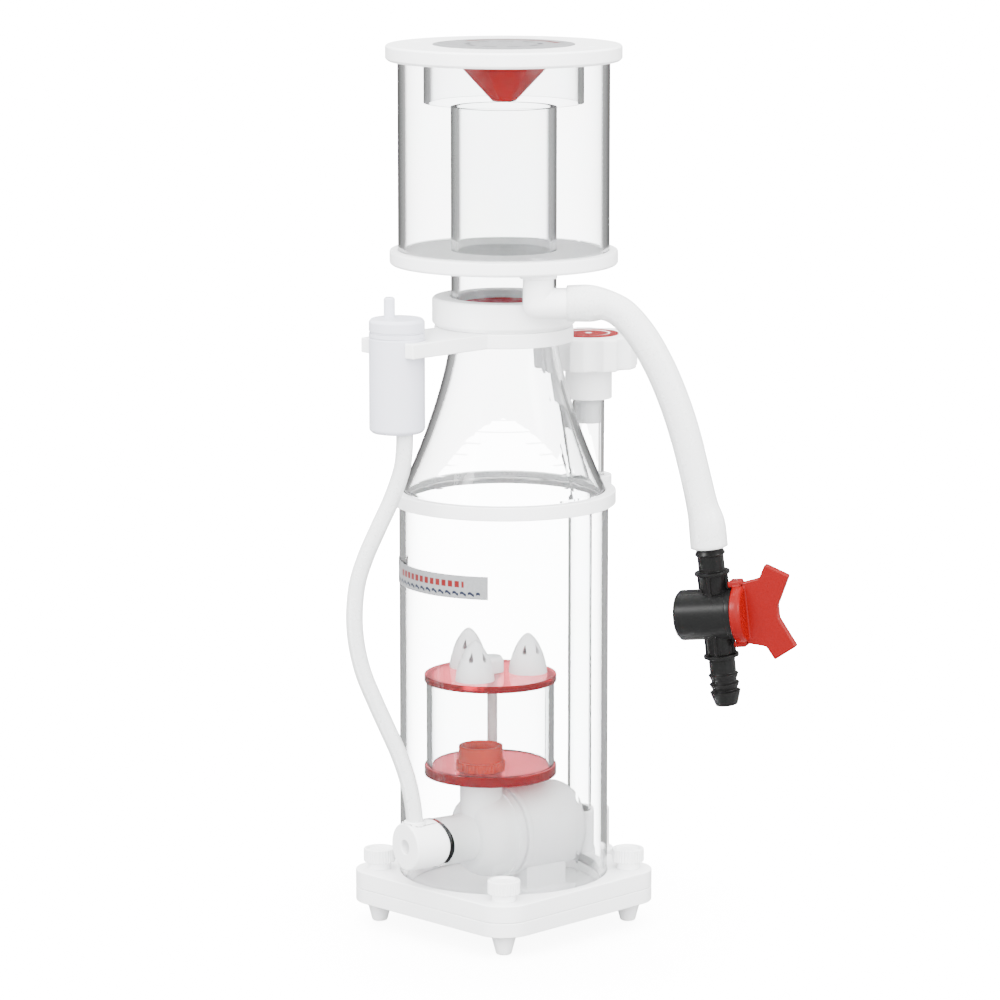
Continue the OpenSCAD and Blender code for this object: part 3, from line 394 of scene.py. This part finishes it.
def softened(node, width, material, body, segments=2):
    """A copy of a CAD part with its sharp edges rounded to the width: corners merged, flat faces
    joined, then a bevel wherever two faces meet at more than 30 degrees."""
    merged = bmesh.new()
    merged.from_mesh(nodes[node].data)
    bmesh.ops.remove_doubles(merged, verts=merged.verts, dist=2e-6)
    bmesh.ops.dissolve_limit(merged, angle_limit=math.radians(0.6), verts=merged.verts,
                             edges=merged.edges, use_dissolve_boundaries=False)
    corners = [tuple(v.co) for v in merged.verts]
    faces = [tuple(v.index for v in f.verts) for f in merged.faces]
    merged.free()
    mesh = bpy.data.meshes.new(node + "_soft")
    mesh.from_pydata(corners, [], faces)
    piece = new_piece(node + "_soft", mesh, material, body, node)
    bevel = piece.modifiers.new("edges", "BEVEL")
    bevel.width = width
    bevel.segments = segments
    bevel.limit_method = "ANGLE"
    bevel.angle_limit = math.radians(30)
    bevel.use_clamp_overlap = False
    bevel.miter_outer = "MITER_ARC"
    flat = piece.modifiers.new("flats", "WEIGHTED_NORMAL")
    flat.weight = 60
    return piece


def finish_nodes(material, *names):
    """Puts one material on each named CAD part."""
    for name in names:
        mesh = nodes[name].data
        mesh.materials.clear()
        mesh.materials.append(material)


def eased(outline, fillet):
    """A closed outline of (radius, height[, own fillet]) in mm with each corner turned into the
    curve (1-t)^2 a + 2t(1-t) corner + t^2 b, where a and b lie one fillet from the corner, and a
    further point on each side that keeps the flats flat."""
    corner = np.array([point[:2] for point in outline], float)
    size = np.array([point[2] if len(point) > 2 else fillet for point in outline], float)
    back, on = np.roll(corner, 1, 0) - corner, np.roll(corner, -1, 0) - corner
    back_len = np.linalg.norm(back, axis=1)[:, None]
    on_len = np.linalg.norm(on, axis=1)[:, None]
    cut = np.minimum(size[:, None], 0.4 * np.minimum(back_len, on_len))
    cut[corner[:, 0] == 0] = 0
    a, b = corner + back / back_len * cut, corner + on / on_len * cut
    t = np.linspace(0, 1, 6)[None, :, None]
    curve = (1 - t) ** 2 * a[:, None] + 2 * t * (1 - t) * corner[:, None] + t ** 2 * b[:, None]
    before = corner + back / back_len * cut * 1.15
    after = corner + on / on_len * cut * 1.15
    return np.concatenate([before[:, None], curve, after[:, None]], axis=1).reshape(-1, 2)


def turned_points(outline, turns, at=(0, 0), wave=None):
    """Grid of points of an outline turned about an upright line, mm to metres:
    (x + r w cos a, y + r w sin a, z), where w is the wave's factor for angle and radius, or 1."""
    angle = np.linspace(0, 2 * math.pi, turns, endpoint=False)[:, None]
    radius, height = outline[None, :, 0], outline[None, :, 1]
    factor = 1 if wave is None else wave(angle, radius)
    return np.stack([at[0] + radius * factor * np.cos(angle),
                     at[1] + radius * factor * np.sin(angle), height + 0 * angle], axis=-1) * 0.001


def closed_mesh(name, grids):
    """One mesh from grids of points that wrap both ways, poles and seams merged, faces out."""
    made = bmesh.new()
    for grid in grids:
        part = grid_mesh(name, grid, True, True)
        made.from_mesh(part)
        bpy.data.meshes.remove(part)
    bmesh.ops.remove_doubles(made, verts=made.verts, dist=1e-6)
    bmesh.ops.recalc_face_normals(made, faces=made.faces)
    mesh = bpy.data.meshes.new(name)
    made.to_mesh(mesh)
    made.free()
    return mesh


white_abs = plastic("white_abs", (0.90, 0.905, 0.91), (0.84, 0.85, 0.86), 0.30,
                    Coat_Weight=0.15, Coat_Roughness=0.2)
dark_rubber = plastic("dark_rubber", (0.012, 0.012, 0.013), (0.02, 0.02, 0.02), 0.6)
softened("base_plate", 5e-4, white_abs, "root", 3)
softened("body_flange", 6e-4, white_abs, "root", 3)
finish_nodes(dark_rubber, "base_seal")

# Feet and thumbscrews share the plates' four corners, in mm.
screw_at = 42.5
screw_corners = ((-screw_at, -screw_at), (screw_at, -screw_at), (screw_at, screw_at),
                 (-screw_at, screw_at))
foot_outline = eased([(0, 0), (3.6, 0, 0.9), (6.4, 10.5, 0.2), (3.1, 10.5, 0.1), (3.1, 5.6, 0.1),
                      (0, 5.6)], 0.3)
new_piece("feet_turned",
          closed_mesh("feet_turned",
                      [turned_points(foot_outline, 72, corner) for corner in screw_corners]),
          white_abs, "root", "feet")

# ---- Thumbscrews ------------------------------------------------------------------------------
# Moulded white thumbscrews that pull the two plates together: a knurled head with a dished top
# and a round neck, over a plain shank that stands in for the thread.

screw_outline = eased([(0, 5.8), (3, 5.8, 0.5), (3, 26, 0.1), (5.7, 26, 0.3), (5.7, 29.5, 0.2),
                       (7.7, 29.5, 0.7), (7.7, 36, 0.8), (5.9, 36, 0.5), (5.4, 35, 0.4), (0, 35)],
                      0.3)


def knurled(angle, radius):
    """1 - depth rib(angle) rim(radius): 32 rounded grooves on the head's outer wall alone."""
    rib = (0.5 - 0.5 * np.cos(32 * angle)) ** 2
    rim = np.clip((radius - 6.3) / 1.2, 0, 1)
    return 1 - 0.062 * rib * rim


for number, corner in enumerate(screw_corners, 1):
    screw_name = f"thumbscrew_{number}_knurled"
    new_piece(screw_name,
              closed_mesh(screw_name, [turned_points(screw_outline, 256, corner, knurled)]),
              white_abs, "thumbscrew_" + "abcd"[number - 1], f"thumbscrew_{number}")

# ---- Clear tubes ------------------------------------------------------------------------------
# Extruded clear acrylic: the reaction tube, the flared reducer blown from the same tube, the
# riser, the chamber's tube, and the cup's three tubes, with faint lines drawn along them.


def acrylic_group():
    """Drawn acrylic: smudges that haze it in patches, roughness = haze max(noise - 0.45, 0), and
    fine lines along the tube, noise stretched along Z, for the bump."""
    tree = bpy.data.node_groups.new("drawn_acrylic", "ShaderNodeTree")
    add_socket(tree, "Tint", "NodeSocketColor", True, (0.98, 0.99, 0.995, 1))
    add_socket(tree, "Haze", "NodeSocketFloat", True, 0.2)
    add_socket(tree, "Lines", "NodeSocketFloat", True, 0.02)
    add_socket(tree, "Color", "NodeSocketColor", False)
    add_socket(tree, "Roughness", "NodeSocketFloat", False)
    add_socket(tree, "Normal", "NodeSocketVector", False)
    inside, out = tree.nodes.new("NodeGroupInput"), tree.nodes.new("NodeGroupOutput")
    place = tree.nodes.new("ShaderNodeTexCoord").outputs["Object"]
    stretch = tree.nodes.new("ShaderNodeMapping")
    stretch.inputs["Scale"].default_value = (1, 1, 0.03)
    tree.links.new(place, stretch.inputs["Vector"])
    smudge = noise(tree, place, Scale=42, Detail=5)
    lines = noise(tree, stretch.outputs["Vector"], Scale=420, Detail=2)
    patch = node_math(tree, "MAXIMUM", node_math(tree, "SUBTRACT", smudge.outputs["Fac"], 0.45),
                      0.0)
    tree.links.new(node_math(tree, "MULTIPLY", patch, inside.outputs["Haze"]),
                   out.inputs["Roughness"])
    shade = tree.nodes.new("ShaderNodeMix")
    shade.data_type = "RGBA"
    shade.blend_type = "MULTIPLY"
    shade.inputs["Factor"].default_value = 0.06
    tree.links.new(inside.outputs["Tint"], shade.inputs["A"])
    tree.links.new(smudge.outputs["Color"], shade.inputs["B"])
    tree.links.new(shade.outputs["Result"], out.inputs["Color"])
    bumped(tree, inside.outputs["Lines"], lines.outputs["Fac"], 0.0002, out)
    return tree


drawn_acrylic = acrylic_group()


def acrylic(name, haze, lines, transmission, ior, tint=None):
    """An acrylic whose drawn skin feeds roughness and normal, and colour if it has one tint."""
    material = bpy.data.materials.new(name)
    material.use_nodes = True
    tree = material.node_tree
    shader = tree.nodes["Principled BSDF"]
    skin = tree.nodes.new("ShaderNodeGroup")
    skin.node_tree = drawn_acrylic
    skin.inputs["Haze"].default_value = haze
    skin.inputs["Lines"].default_value = lines
    for socket in ("Roughness", "Normal"):
        tree.links.new(skin.outputs[socket], shader.inputs[socket])
    if tint is not None:
        skin.inputs["Tint"].default_value = (*tint, 1)
        tree.links.new(skin.outputs["Color"], shader.inputs["Base Color"])
    shader.inputs["Transmission Weight"].default_value = transmission
    shader.inputs["IOR"].default_value = ior
    return material


clear_acrylic = acrylic("clear_acrylic", haze=0.12, lines=0.01, transmission=1.0, ior=1.49,
                        tint=(0.985, 0.992, 0.995))
finish_nodes(clear_acrylic, "body_tube", "reducer", "chamber_tube", "riser_tube", "cup_tube",
             "neck_tube", "lid_skirt")

# ---- Level label ------------------------------------------------------------------------------
# A silver film stuck round the front of the reaction tube that shows the best water level, with
# plain generic marks: a row of red bars over a row of small dark waves.


def round_axes(tree, middle_y):
    """Radius and angle, in mm and radians, about the upright line x = 0, y = middle_y."""
    axes = tree.nodes.new("ShaderNodeSeparateXYZ")
    tree.links.new(tree.nodes.new("ShaderNodeTexCoord").outputs["Object"], axes.inputs[0])
    x = node_math(tree, "MULTIPLY", axes.outputs["X"], 1000.0)
    y = node_math(tree, "MULTIPLY",
                  node_math(tree, "SUBTRACT", axes.outputs["Y"], middle_y * 0.001), 1000.0)
    radius = node_math(tree, "SQRT", node_math(
        tree, "ADD", node_math(tree, "MULTIPLY", x, x), node_math(tree, "MULTIPLY", y, y)))
    return radius, node_math(tree, "ARCTAN2", y, x)


def dashes(tree, along, pitch, share):
    """1 over the first share of each pitch, where fract(along / pitch) < share."""
    return node_math(tree, "LESS_THAN", node_math(
        tree, "FRACT", node_math(tree, "DIVIDE", along, pitch)), share)


def between(tree, value, low, high):
    """1 where low < value < high."""
    return node_math(tree, "MULTIPLY", node_math(tree, "GREATER_THAN", value, low),
                     node_math(tree, "LESS_THAN", value, high))


label_radius, label_foot, label_start = 50.35, 168.0, math.radians(-142)
bar_pitch, wave_pitch, wave_middle = 3.6, 4.0, 2.4


def label_group():
    """A brushed silver film seen by its angle and height on the tube, in mm: s = r (angle - a0),
    v = z - z0. Bars are the first part of each pitch of s; waves are where
    |v - middle - 0.5 sin(2 pi s / pitch)| is small, with a gap at the end of each."""
    tree = bpy.data.node_groups.new("level_film", "ShaderNodeTree")
    add_socket(tree, "Color", "NodeSocketColor", False)
    add_socket(tree, "Roughness", "NodeSocketFloat", False)
    out = tree.nodes.new("NodeGroupOutput")
    place = tree.nodes.new("ShaderNodeTexCoord").outputs["Object"]
    axes = tree.nodes.new("ShaderNodeSeparateXYZ")
    tree.links.new(place, axes.inputs[0])
    angle = node_math(tree, "ARCTAN2", axes.outputs["Y"], axes.outputs["X"])
    s = node_math(tree, "MULTIPLY", node_math(tree, "SUBTRACT", angle, label_start), label_radius)
    v = node_math(tree, "MULTIPLY",
                  node_math(tree, "SUBTRACT", axes.outputs["Z"], label_foot * 0.001), 1000.0)
    grain = noise(tree, place, Scale=900, Detail=4)
    silver = mixed(tree, grain.outputs["Fac"], (0.16, 0.165, 0.172), (0.25, 0.255, 0.262))
    bars = node_math(tree, "MULTIPLY", between(tree, v, 5.3, 8.3), between(tree, s, 20.0, 66.0))
    bars = node_math(tree, "MULTIPLY", bars, dashes(tree, s, bar_pitch, 0.66))
    swing = node_math(tree, "MULTIPLY", node_math(
        tree, "SINE", node_math(tree, "MULTIPLY", s, 2 * math.pi / wave_pitch)), 0.5)
    off = node_math(tree, "ABSOLUTE", node_math(
        tree, "SUBTRACT", node_math(tree, "SUBTRACT", v, wave_middle), swing))
    waves = node_math(tree, "MULTIPLY", node_math(tree, "LESS_THAN", off, 0.62),
                      between(tree, s, 4.0, 74.0))
    waves = node_math(tree, "MULTIPLY", waves, dashes(tree, s, wave_pitch, 0.78))
    colour = mixed(tree, bars, silver, (0.12, 0.001, 0.002))
    colour = mixed(tree, waves, colour, (0.003, 0.006, 0.02))
    tree.links.new(colour, out.inputs["Color"])
    tree.links.new(node_math(tree, "MULTIPLY_ADD", grain.outputs["Fac"], 0.15, 0.28),
                   out.inputs["Roughness"])
    return tree


def film(name, group, **sockets):
    """A printed film: the group gives its colour and roughness."""
    material = bpy.data.materials.new(name)
    material.use_nodes = True
    tree = material.node_tree
    shader = tree.nodes["Principled BSDF"]
    skin = tree.nodes.new("ShaderNodeGroup")
    skin.node_tree = group
    tree.links.new(skin.outputs["Color"], shader.inputs["Base Color"])
    tree.links.new(skin.outputs["Roughness"], shader.inputs["Roughness"])
    for socket, value in sockets.items():
        shader.inputs[socket.replace("_", " ")].default_value = value
    return material


finish_nodes(film("level_label_film", label_group(), Specular_IOR_Level=0.5), "level_label")

# ---- Ring, collar and silencer bracket --------------------------------------------------------
# White ABS cut from plate: the ring between tube and reducer, the collar that takes the cup's
# neck with a soft red lip seal inside it, and the forked bracket that carries the silencer.

softened("mid_ring", 5e-4, white_abs, "root", 3)
softened("neck_collar", 5e-4, white_abs, "root", 3)
softened("silencer_bracket", 6e-4, white_abs, "root", 3)
red_rubber = plastic("red_rubber", (0.6, 0.003, 0.035), (0.52, 0.003, 0.03), 0.4)
finish_nodes(red_rubber, "collar_seal")

# ---- Air silencer -----------------------------------------------------------------------------
# A drum of pale blue-grey plastic packed with foam, closed by a pressed-in cap: a shallow seam
# under the cap, a step above it, an air nipple on top and a spigot for the hose below.

pearl = plastic("pearl_grey", (0.60, 0.61, 0.68), (0.54, 0.55, 0.62), 0.32, marks=0.16)
silencer_y, spigot_x = -70.0, 5.0
drum_outline = eased([(0, 247.5), (11.5, 247.5, 0.8), (13, 249, 0.8), (13, 291.6, 0.15),
                      (12.75, 291.9, 0.1), (12.75, 292.3, 0.1), (13, 292.6, 0.15),
                      (13, 294.4, 0.2), (11, 294.4, 0.1), (11, 250, 0.4), (0, 250)], 0.2)
spigot_outline = eased([(1.4, 249.9, 0.05), (2.6, 249.9, 0.05), (2.6, 238.5, 0.3),
                        (1.4, 238.5, 0.2)], 0.2)
new_piece("silencer_drum",
          closed_mesh("silencer_drum", [turned_points(drum_outline, 128, (0, silencer_y)),
                                        turned_points(spigot_outline, 48, (spigot_x, silencer_y))]),
          pearl, "root", "silencer_body")
cap_outline = eased([(0, 294.5), (12.7, 294.5, 0.1), (12.7, 295.1, 0.1), (13, 295.4, 0.15),
                     (13, 299.6, 0.4), (11.9, 301, 0.5), (0, 301)], 0.2)
nipple_outline = eased([(1.5, 300.6, 0.05), (2.9, 300.6, 0.05), (2.6, 301.5, 0.2),
                        (2.6, 309.6, 0.3), (1.9, 310.4, 0.3), (1.5, 310.4, 0.1)], 0.2)
new_piece("silencer_lid",
          closed_mesh("silencer_lid", [turned_points(cap_outline, 128, (0, silencer_y)),
                                       turned_points(nipple_outline, 48, (-spigot_x, silencer_y))]),
          pearl, "root", "silencer_cap")
foam = plastic("foam", (0.05, 0.05, 0.05), (0.02, 0.02, 0.02), 0.9, peel=1.0, peel_size=900)
finish_nodes(foam, "silencer_foam")

# ---- Pump -------------------------------------------------------------------------------------
# White moulded housing: venturi nozzle and intake pipe, round volute clamped on an O-ring to the
# sealed motor can, on a saddle. Inside, a red needle wheel and magnet turn on a ground shaft.

softened("venturi_nozzle", 4e-4, white_abs, "root")
softened("intake_pipe", 3e-4, white_abs, "root")
softened("pump_volute", 1.5e-4, white_abs, "root")
softened("pump_motor", 4e-4, white_abs, "root", 3)
softened("pump_foot", 5e-4, white_abs, "root")
finish_nodes(dark_rubber, "pump_oring", "cable_gland")
bearing = plastic("bearing_plastic", (0.80, 0.72, 0.68), (0.72, 0.64, 0.60), 0.35)
ferrite = plastic("ferrite", (0.05, 0.05, 0.055), (0.03, 0.03, 0.035), 0.5)
steel = plastic("ground_steel", (0.6, 0.6, 0.62), (0.5, 0.5, 0.52), 0.22, Metallic=1.0)
finish_nodes(bearing, "front_bush", "rear_bush")
finish_nodes(ferrite, "rotor_magnet")
finish_nodes(steel, "pump_shaft")
bright_red = plastic("bright_red", (0.70, 0.028, 0.003), (0.62, 0.02, 0.002), 0.25,
                     Specular_IOR_Level=0.35)
finish_nodes(bright_red, "impeller")

# ---- Bubble chamber ---------------------------------------------------------------------------
# Two discs of translucent red acrylic with a clear tube between them, over the pump's outlet: a
# bright red knurled nozzle below, three white slotted domes above, and a milky tie rod and knob.

chamber_y = -9.0
# Between these radii the discs' colour turns to a painted shade of deep red out to their cut edge.
painted_edge_shade_from, painted_edge_shade_to = 30.9, 31.3


def disc_tint_and_edge_shade_group():
    """Tint of a stained disc about the chamber's axis: pale looking through it, and a painted shade
    of deep red at its cut edge for the depth of colour seen along the acrylic, which starts where
    sqrt(x^2 + (y - y0)^2) passes from one radius to the other."""
    tree = bpy.data.node_groups.new("cut_edge", "ShaderNodeTree")
    add_socket(tree, "Color", "NodeSocketColor", False)
    out = tree.nodes.new("NodeGroupOutput")
    radius = round_axes(tree, chamber_y)[0]
    rim = tree.nodes.new("ShaderNodeMapRange")
    rim.inputs["From Min"].default_value = painted_edge_shade_from
    rim.inputs["From Max"].default_value = painted_edge_shade_to
    tree.links.new(radius, rim.inputs["Value"])
    # Painted shade: deep red at the disc's cut edge, pale red inside it.
    tree.links.new(mixed(tree, rim.outputs["Result"], (0.75, 0.10, 0.13), (0.27, 0.0004, 0.004)),
                   out.inputs["Color"])
    return tree


red_acrylic = acrylic("red_acrylic", haze=0.3, lines=0.02, transmission=0.5, ior=1.35)
disc_tree = red_acrylic.node_tree
disc_tint = disc_tree.nodes.new("ShaderNodeGroup")
disc_tint.node_tree = disc_tint_and_edge_shade_group()
disc_tree.links.new(disc_tint.outputs["Color"],
                    disc_tree.nodes["Principled BSDF"].inputs["Base Color"])
softened("chamber_lower_disc", 3e-4, red_acrylic, "root")
softened("chamber_upper_disc", 3e-4, red_acrylic, "root")
softened("outlet_nozzle", 2e-4, bright_red, "root")
finish_nodes(white_abs, "bubble_dome_1", "bubble_dome_2", "bubble_dome_3", "chamber_nut")
softened("chamber_knob", 5e-4, white_abs, "root", 3)
tie_rod = plastic("tie_rod", (0.78, 0.70, 0.68), (0.70, 0.62, 0.60), 0.3,
                  Transmission_Weight=0.2)
finish_nodes(tie_rod, "chamber_rod")

# ---- Riser and level knob ---------------------------------------------------------------------
# A clear riser in a white socket and sleeve; the knob is a deep nine-lobed moulding pressed on
# the inner control tube, with a glossy red disc in its top that carries a plain white sweep.

softened("riser_socket", 3e-4, white_abs, "root")
softened("riser_sleeve", 3e-4, white_abs, "root")
finish_nodes(white_abs, "control_tube")
riser_y = 58.0
knob_radius, knob_foot, knob_top = 23.9, 265.2, 281.2
disc_seat, lobes = 0.6, 9
knob_outline = eased([(6.1, knob_foot + 4, 0.2), (5.95, knob_foot, 0.2),
                      (knob_radius, knob_foot, 1.2), (knob_radius, knob_top, 1.6),
                      (14.6, knob_top, 0.3), (14.5, knob_top - disc_seat, 0.1),
                      (0, knob_top - disc_seat), (0, knob_foot + 4)], 0.3)


def scalloped(angle, radius):
    """r(a) of a circular bite between lobes over the plain rim, softened where they meet:
    r = D cos p - sqrt(R^2 - D^2 sin^2 p), p the angle from the bite's middle."""
    middle, bite, past_rim, soften = 27.15, 5.88, 26.0, 0.35
    half_lobe = math.pi / lobes
    p = (angle + half_lobe) % (2 * half_lobe) - half_lobe
    inside = bite ** 2 - (middle * np.sin(p)) ** 2
    bitten = np.where(inside > 0, middle * np.cos(p) - np.sqrt(np.maximum(inside, 0)), past_rim)
    rim = -np.log(np.exp(-bitten / soften) + math.exp(-knob_radius / soften)) * soften
    share = np.clip((radius - 15) / 8.0, 0, 1) ** 2
    return 1 - (1 - np.minimum(rim, knob_radius) / knob_radius) * share


new_piece("level_knob_lobed",
          closed_mesh("level_knob_lobed",
                      [turned_points(knob_outline, 360, (0, riser_y), scalloped)]),
          white_abs, "knob", "level_knob")


def disc_group():
    """Red film with a white sweep, |radius - 10 mm| < 0.2 + 0.28 angle, so a ring that thins away
    with the angle, and a dot in the middle."""
    tree = bpy.data.node_groups.new("knob_film", "ShaderNodeTree")
    add_socket(tree, "Color", "NodeSocketColor", False)
    add_socket(tree, "Roughness", "NodeSocketFloat", False)
    out = tree.nodes.new("NodeGroupOutput")
    radius, angle = round_axes(tree, riser_y)
    width = node_math(tree, "MULTIPLY_ADD", angle, 0.28, 0.2)
    off = node_math(tree, "ABSOLUTE", node_math(tree, "SUBTRACT", radius, 10.0))
    sweep = node_math(tree, "LESS_THAN", off, width)
    dot = node_math(tree, "LESS_THAN", radius, 1.6)
    grain = noise(tree, tree.nodes.new("ShaderNodeTexCoord").outputs["Object"], Scale=600)
    red = mixed(tree, grain.outputs["Fac"], (0.23, 0.0004, 0.004), (0.20, 0.0004, 0.003))
    mark = node_math(tree, "MAXIMUM", sweep, dot)
    tree.links.new(mixed(tree, mark, red, (0.85, 0.85, 0.85)), out.inputs["Color"])
    tree.links.new(node_math(tree, "MULTIPLY_ADD", grain.outputs["Fac"], 0.1, 0.14),
                   out.inputs["Roughness"])
    return tree


finish_nodes(film("knob_disc_film", disc_group(), Specular_IOR_Level=0.3), "level_knob_disc")

# ---- Cup and lid ------------------------------------------------------------------------------
# The lift-off cup: a white turned floor grooved for its tubes, and a white lid with four vents, a
# speckled silver badge with plain rings, and a faceted red deflector under its middle.

softened("cup_floor", 5e-4, white_abs, "cup", 3)
softened("lid", 3e-4, white_abs, "lid", 3)
deep_red = plastic("deep_red", (0.52, 0.0008, 0.0016), (0.45, 0.0006, 0.0012), 0.20,
                   marks=0.05, Specular_IOR_Level=0.3)
softened("lid_deflector", 3e-4, deep_red, "lid")


def badge_group():
    """A speckled silver disc with generic rings: red where 24.5 < r < 27.5 mm over a part turn,
    and nine dark blocks where 16 < r < 18.5 mm, each the first 0.6 of its ninth of a turn."""
    tree = bpy.data.node_groups.new("badge_film", "ShaderNodeTree")
    add_socket(tree, "Color", "NodeSocketColor", False)
    add_socket(tree, "Roughness", "NodeSocketFloat", False)
    out = tree.nodes.new("NodeGroupOutput")
    radius, angle = round_axes(tree, 0)
    speck = noise(tree, tree.nodes.new("ShaderNodeTexCoord").outputs["Object"], Scale=420,
                  Detail=8, Roughness=0.8)
    contrast = tree.nodes.new("ShaderNodeMapRange")
    contrast.inputs["From Min"].default_value = 0.35
    contrast.inputs["From Max"].default_value = 0.65
    tree.links.new(speck.outputs["Fac"], contrast.inputs["Value"])
    silver = mixed(tree, contrast.outputs["Result"], (0.13, 0.135, 0.145), (0.33, 0.33, 0.335))
    ring = node_math(tree, "MULTIPLY", between(tree, radius, 24.5, 27.5),
                     between(tree, angle, 1.0, 3.1))
    blocks = node_math(tree, "MULTIPLY", between(tree, radius, 16.0, 18.5),
                       dashes(tree, angle, 2 * math.pi / 9, 0.6))
    colour = mixed(tree, ring, silver, (0.13, 0.001, 0.003))
    colour = mixed(tree, blocks, colour, (0.04, 0.04, 0.05))
    tree.links.new(colour, out.inputs["Color"])
    tree.links.new(node_math(tree, "MULTIPLY_ADD", speck.outputs["Fac"], 0.2, 0.25),
                   out.inputs["Roughness"])
    return tree


finish_nodes(film("lid_badge_film", badge_group(), Specular_IOR_Level=0.5), "lid_badge")

# ---- Drain elbow and valve --------------------------------------------------------------------
# A white moulded elbow under the cup; at the hose's end a glossy black ball valve with barbs,
# ribs and a red handle whose two hooks grip the barrel's lip. Ball and seats sit unseen inside.

softened("drain_elbow", 3e-4, white_abs, "cup")
black_gloss = plastic("black_gloss", (0.002, 0.002, 0.002), (0.004, 0.004, 0.004), 0.24,
                      Specular_IOR_Level=0.35)
red_gloss = plastic("red_gloss", (0.14, 0.0003, 0.0003), (0.12, 0.0003, 0.0003), 0.24,
                    marks=0.05, Specular_IOR_Level=0.35)
valve_body = softened("valve_body", 3e-4, black_gloss, "cup")
valve_handle = softened("valve_handle", 8e-4, red_gloss, "valve", 3)
finish_nodes(white_abs, "valve_ball")
finish_nodes(bearing, "valve_seats")
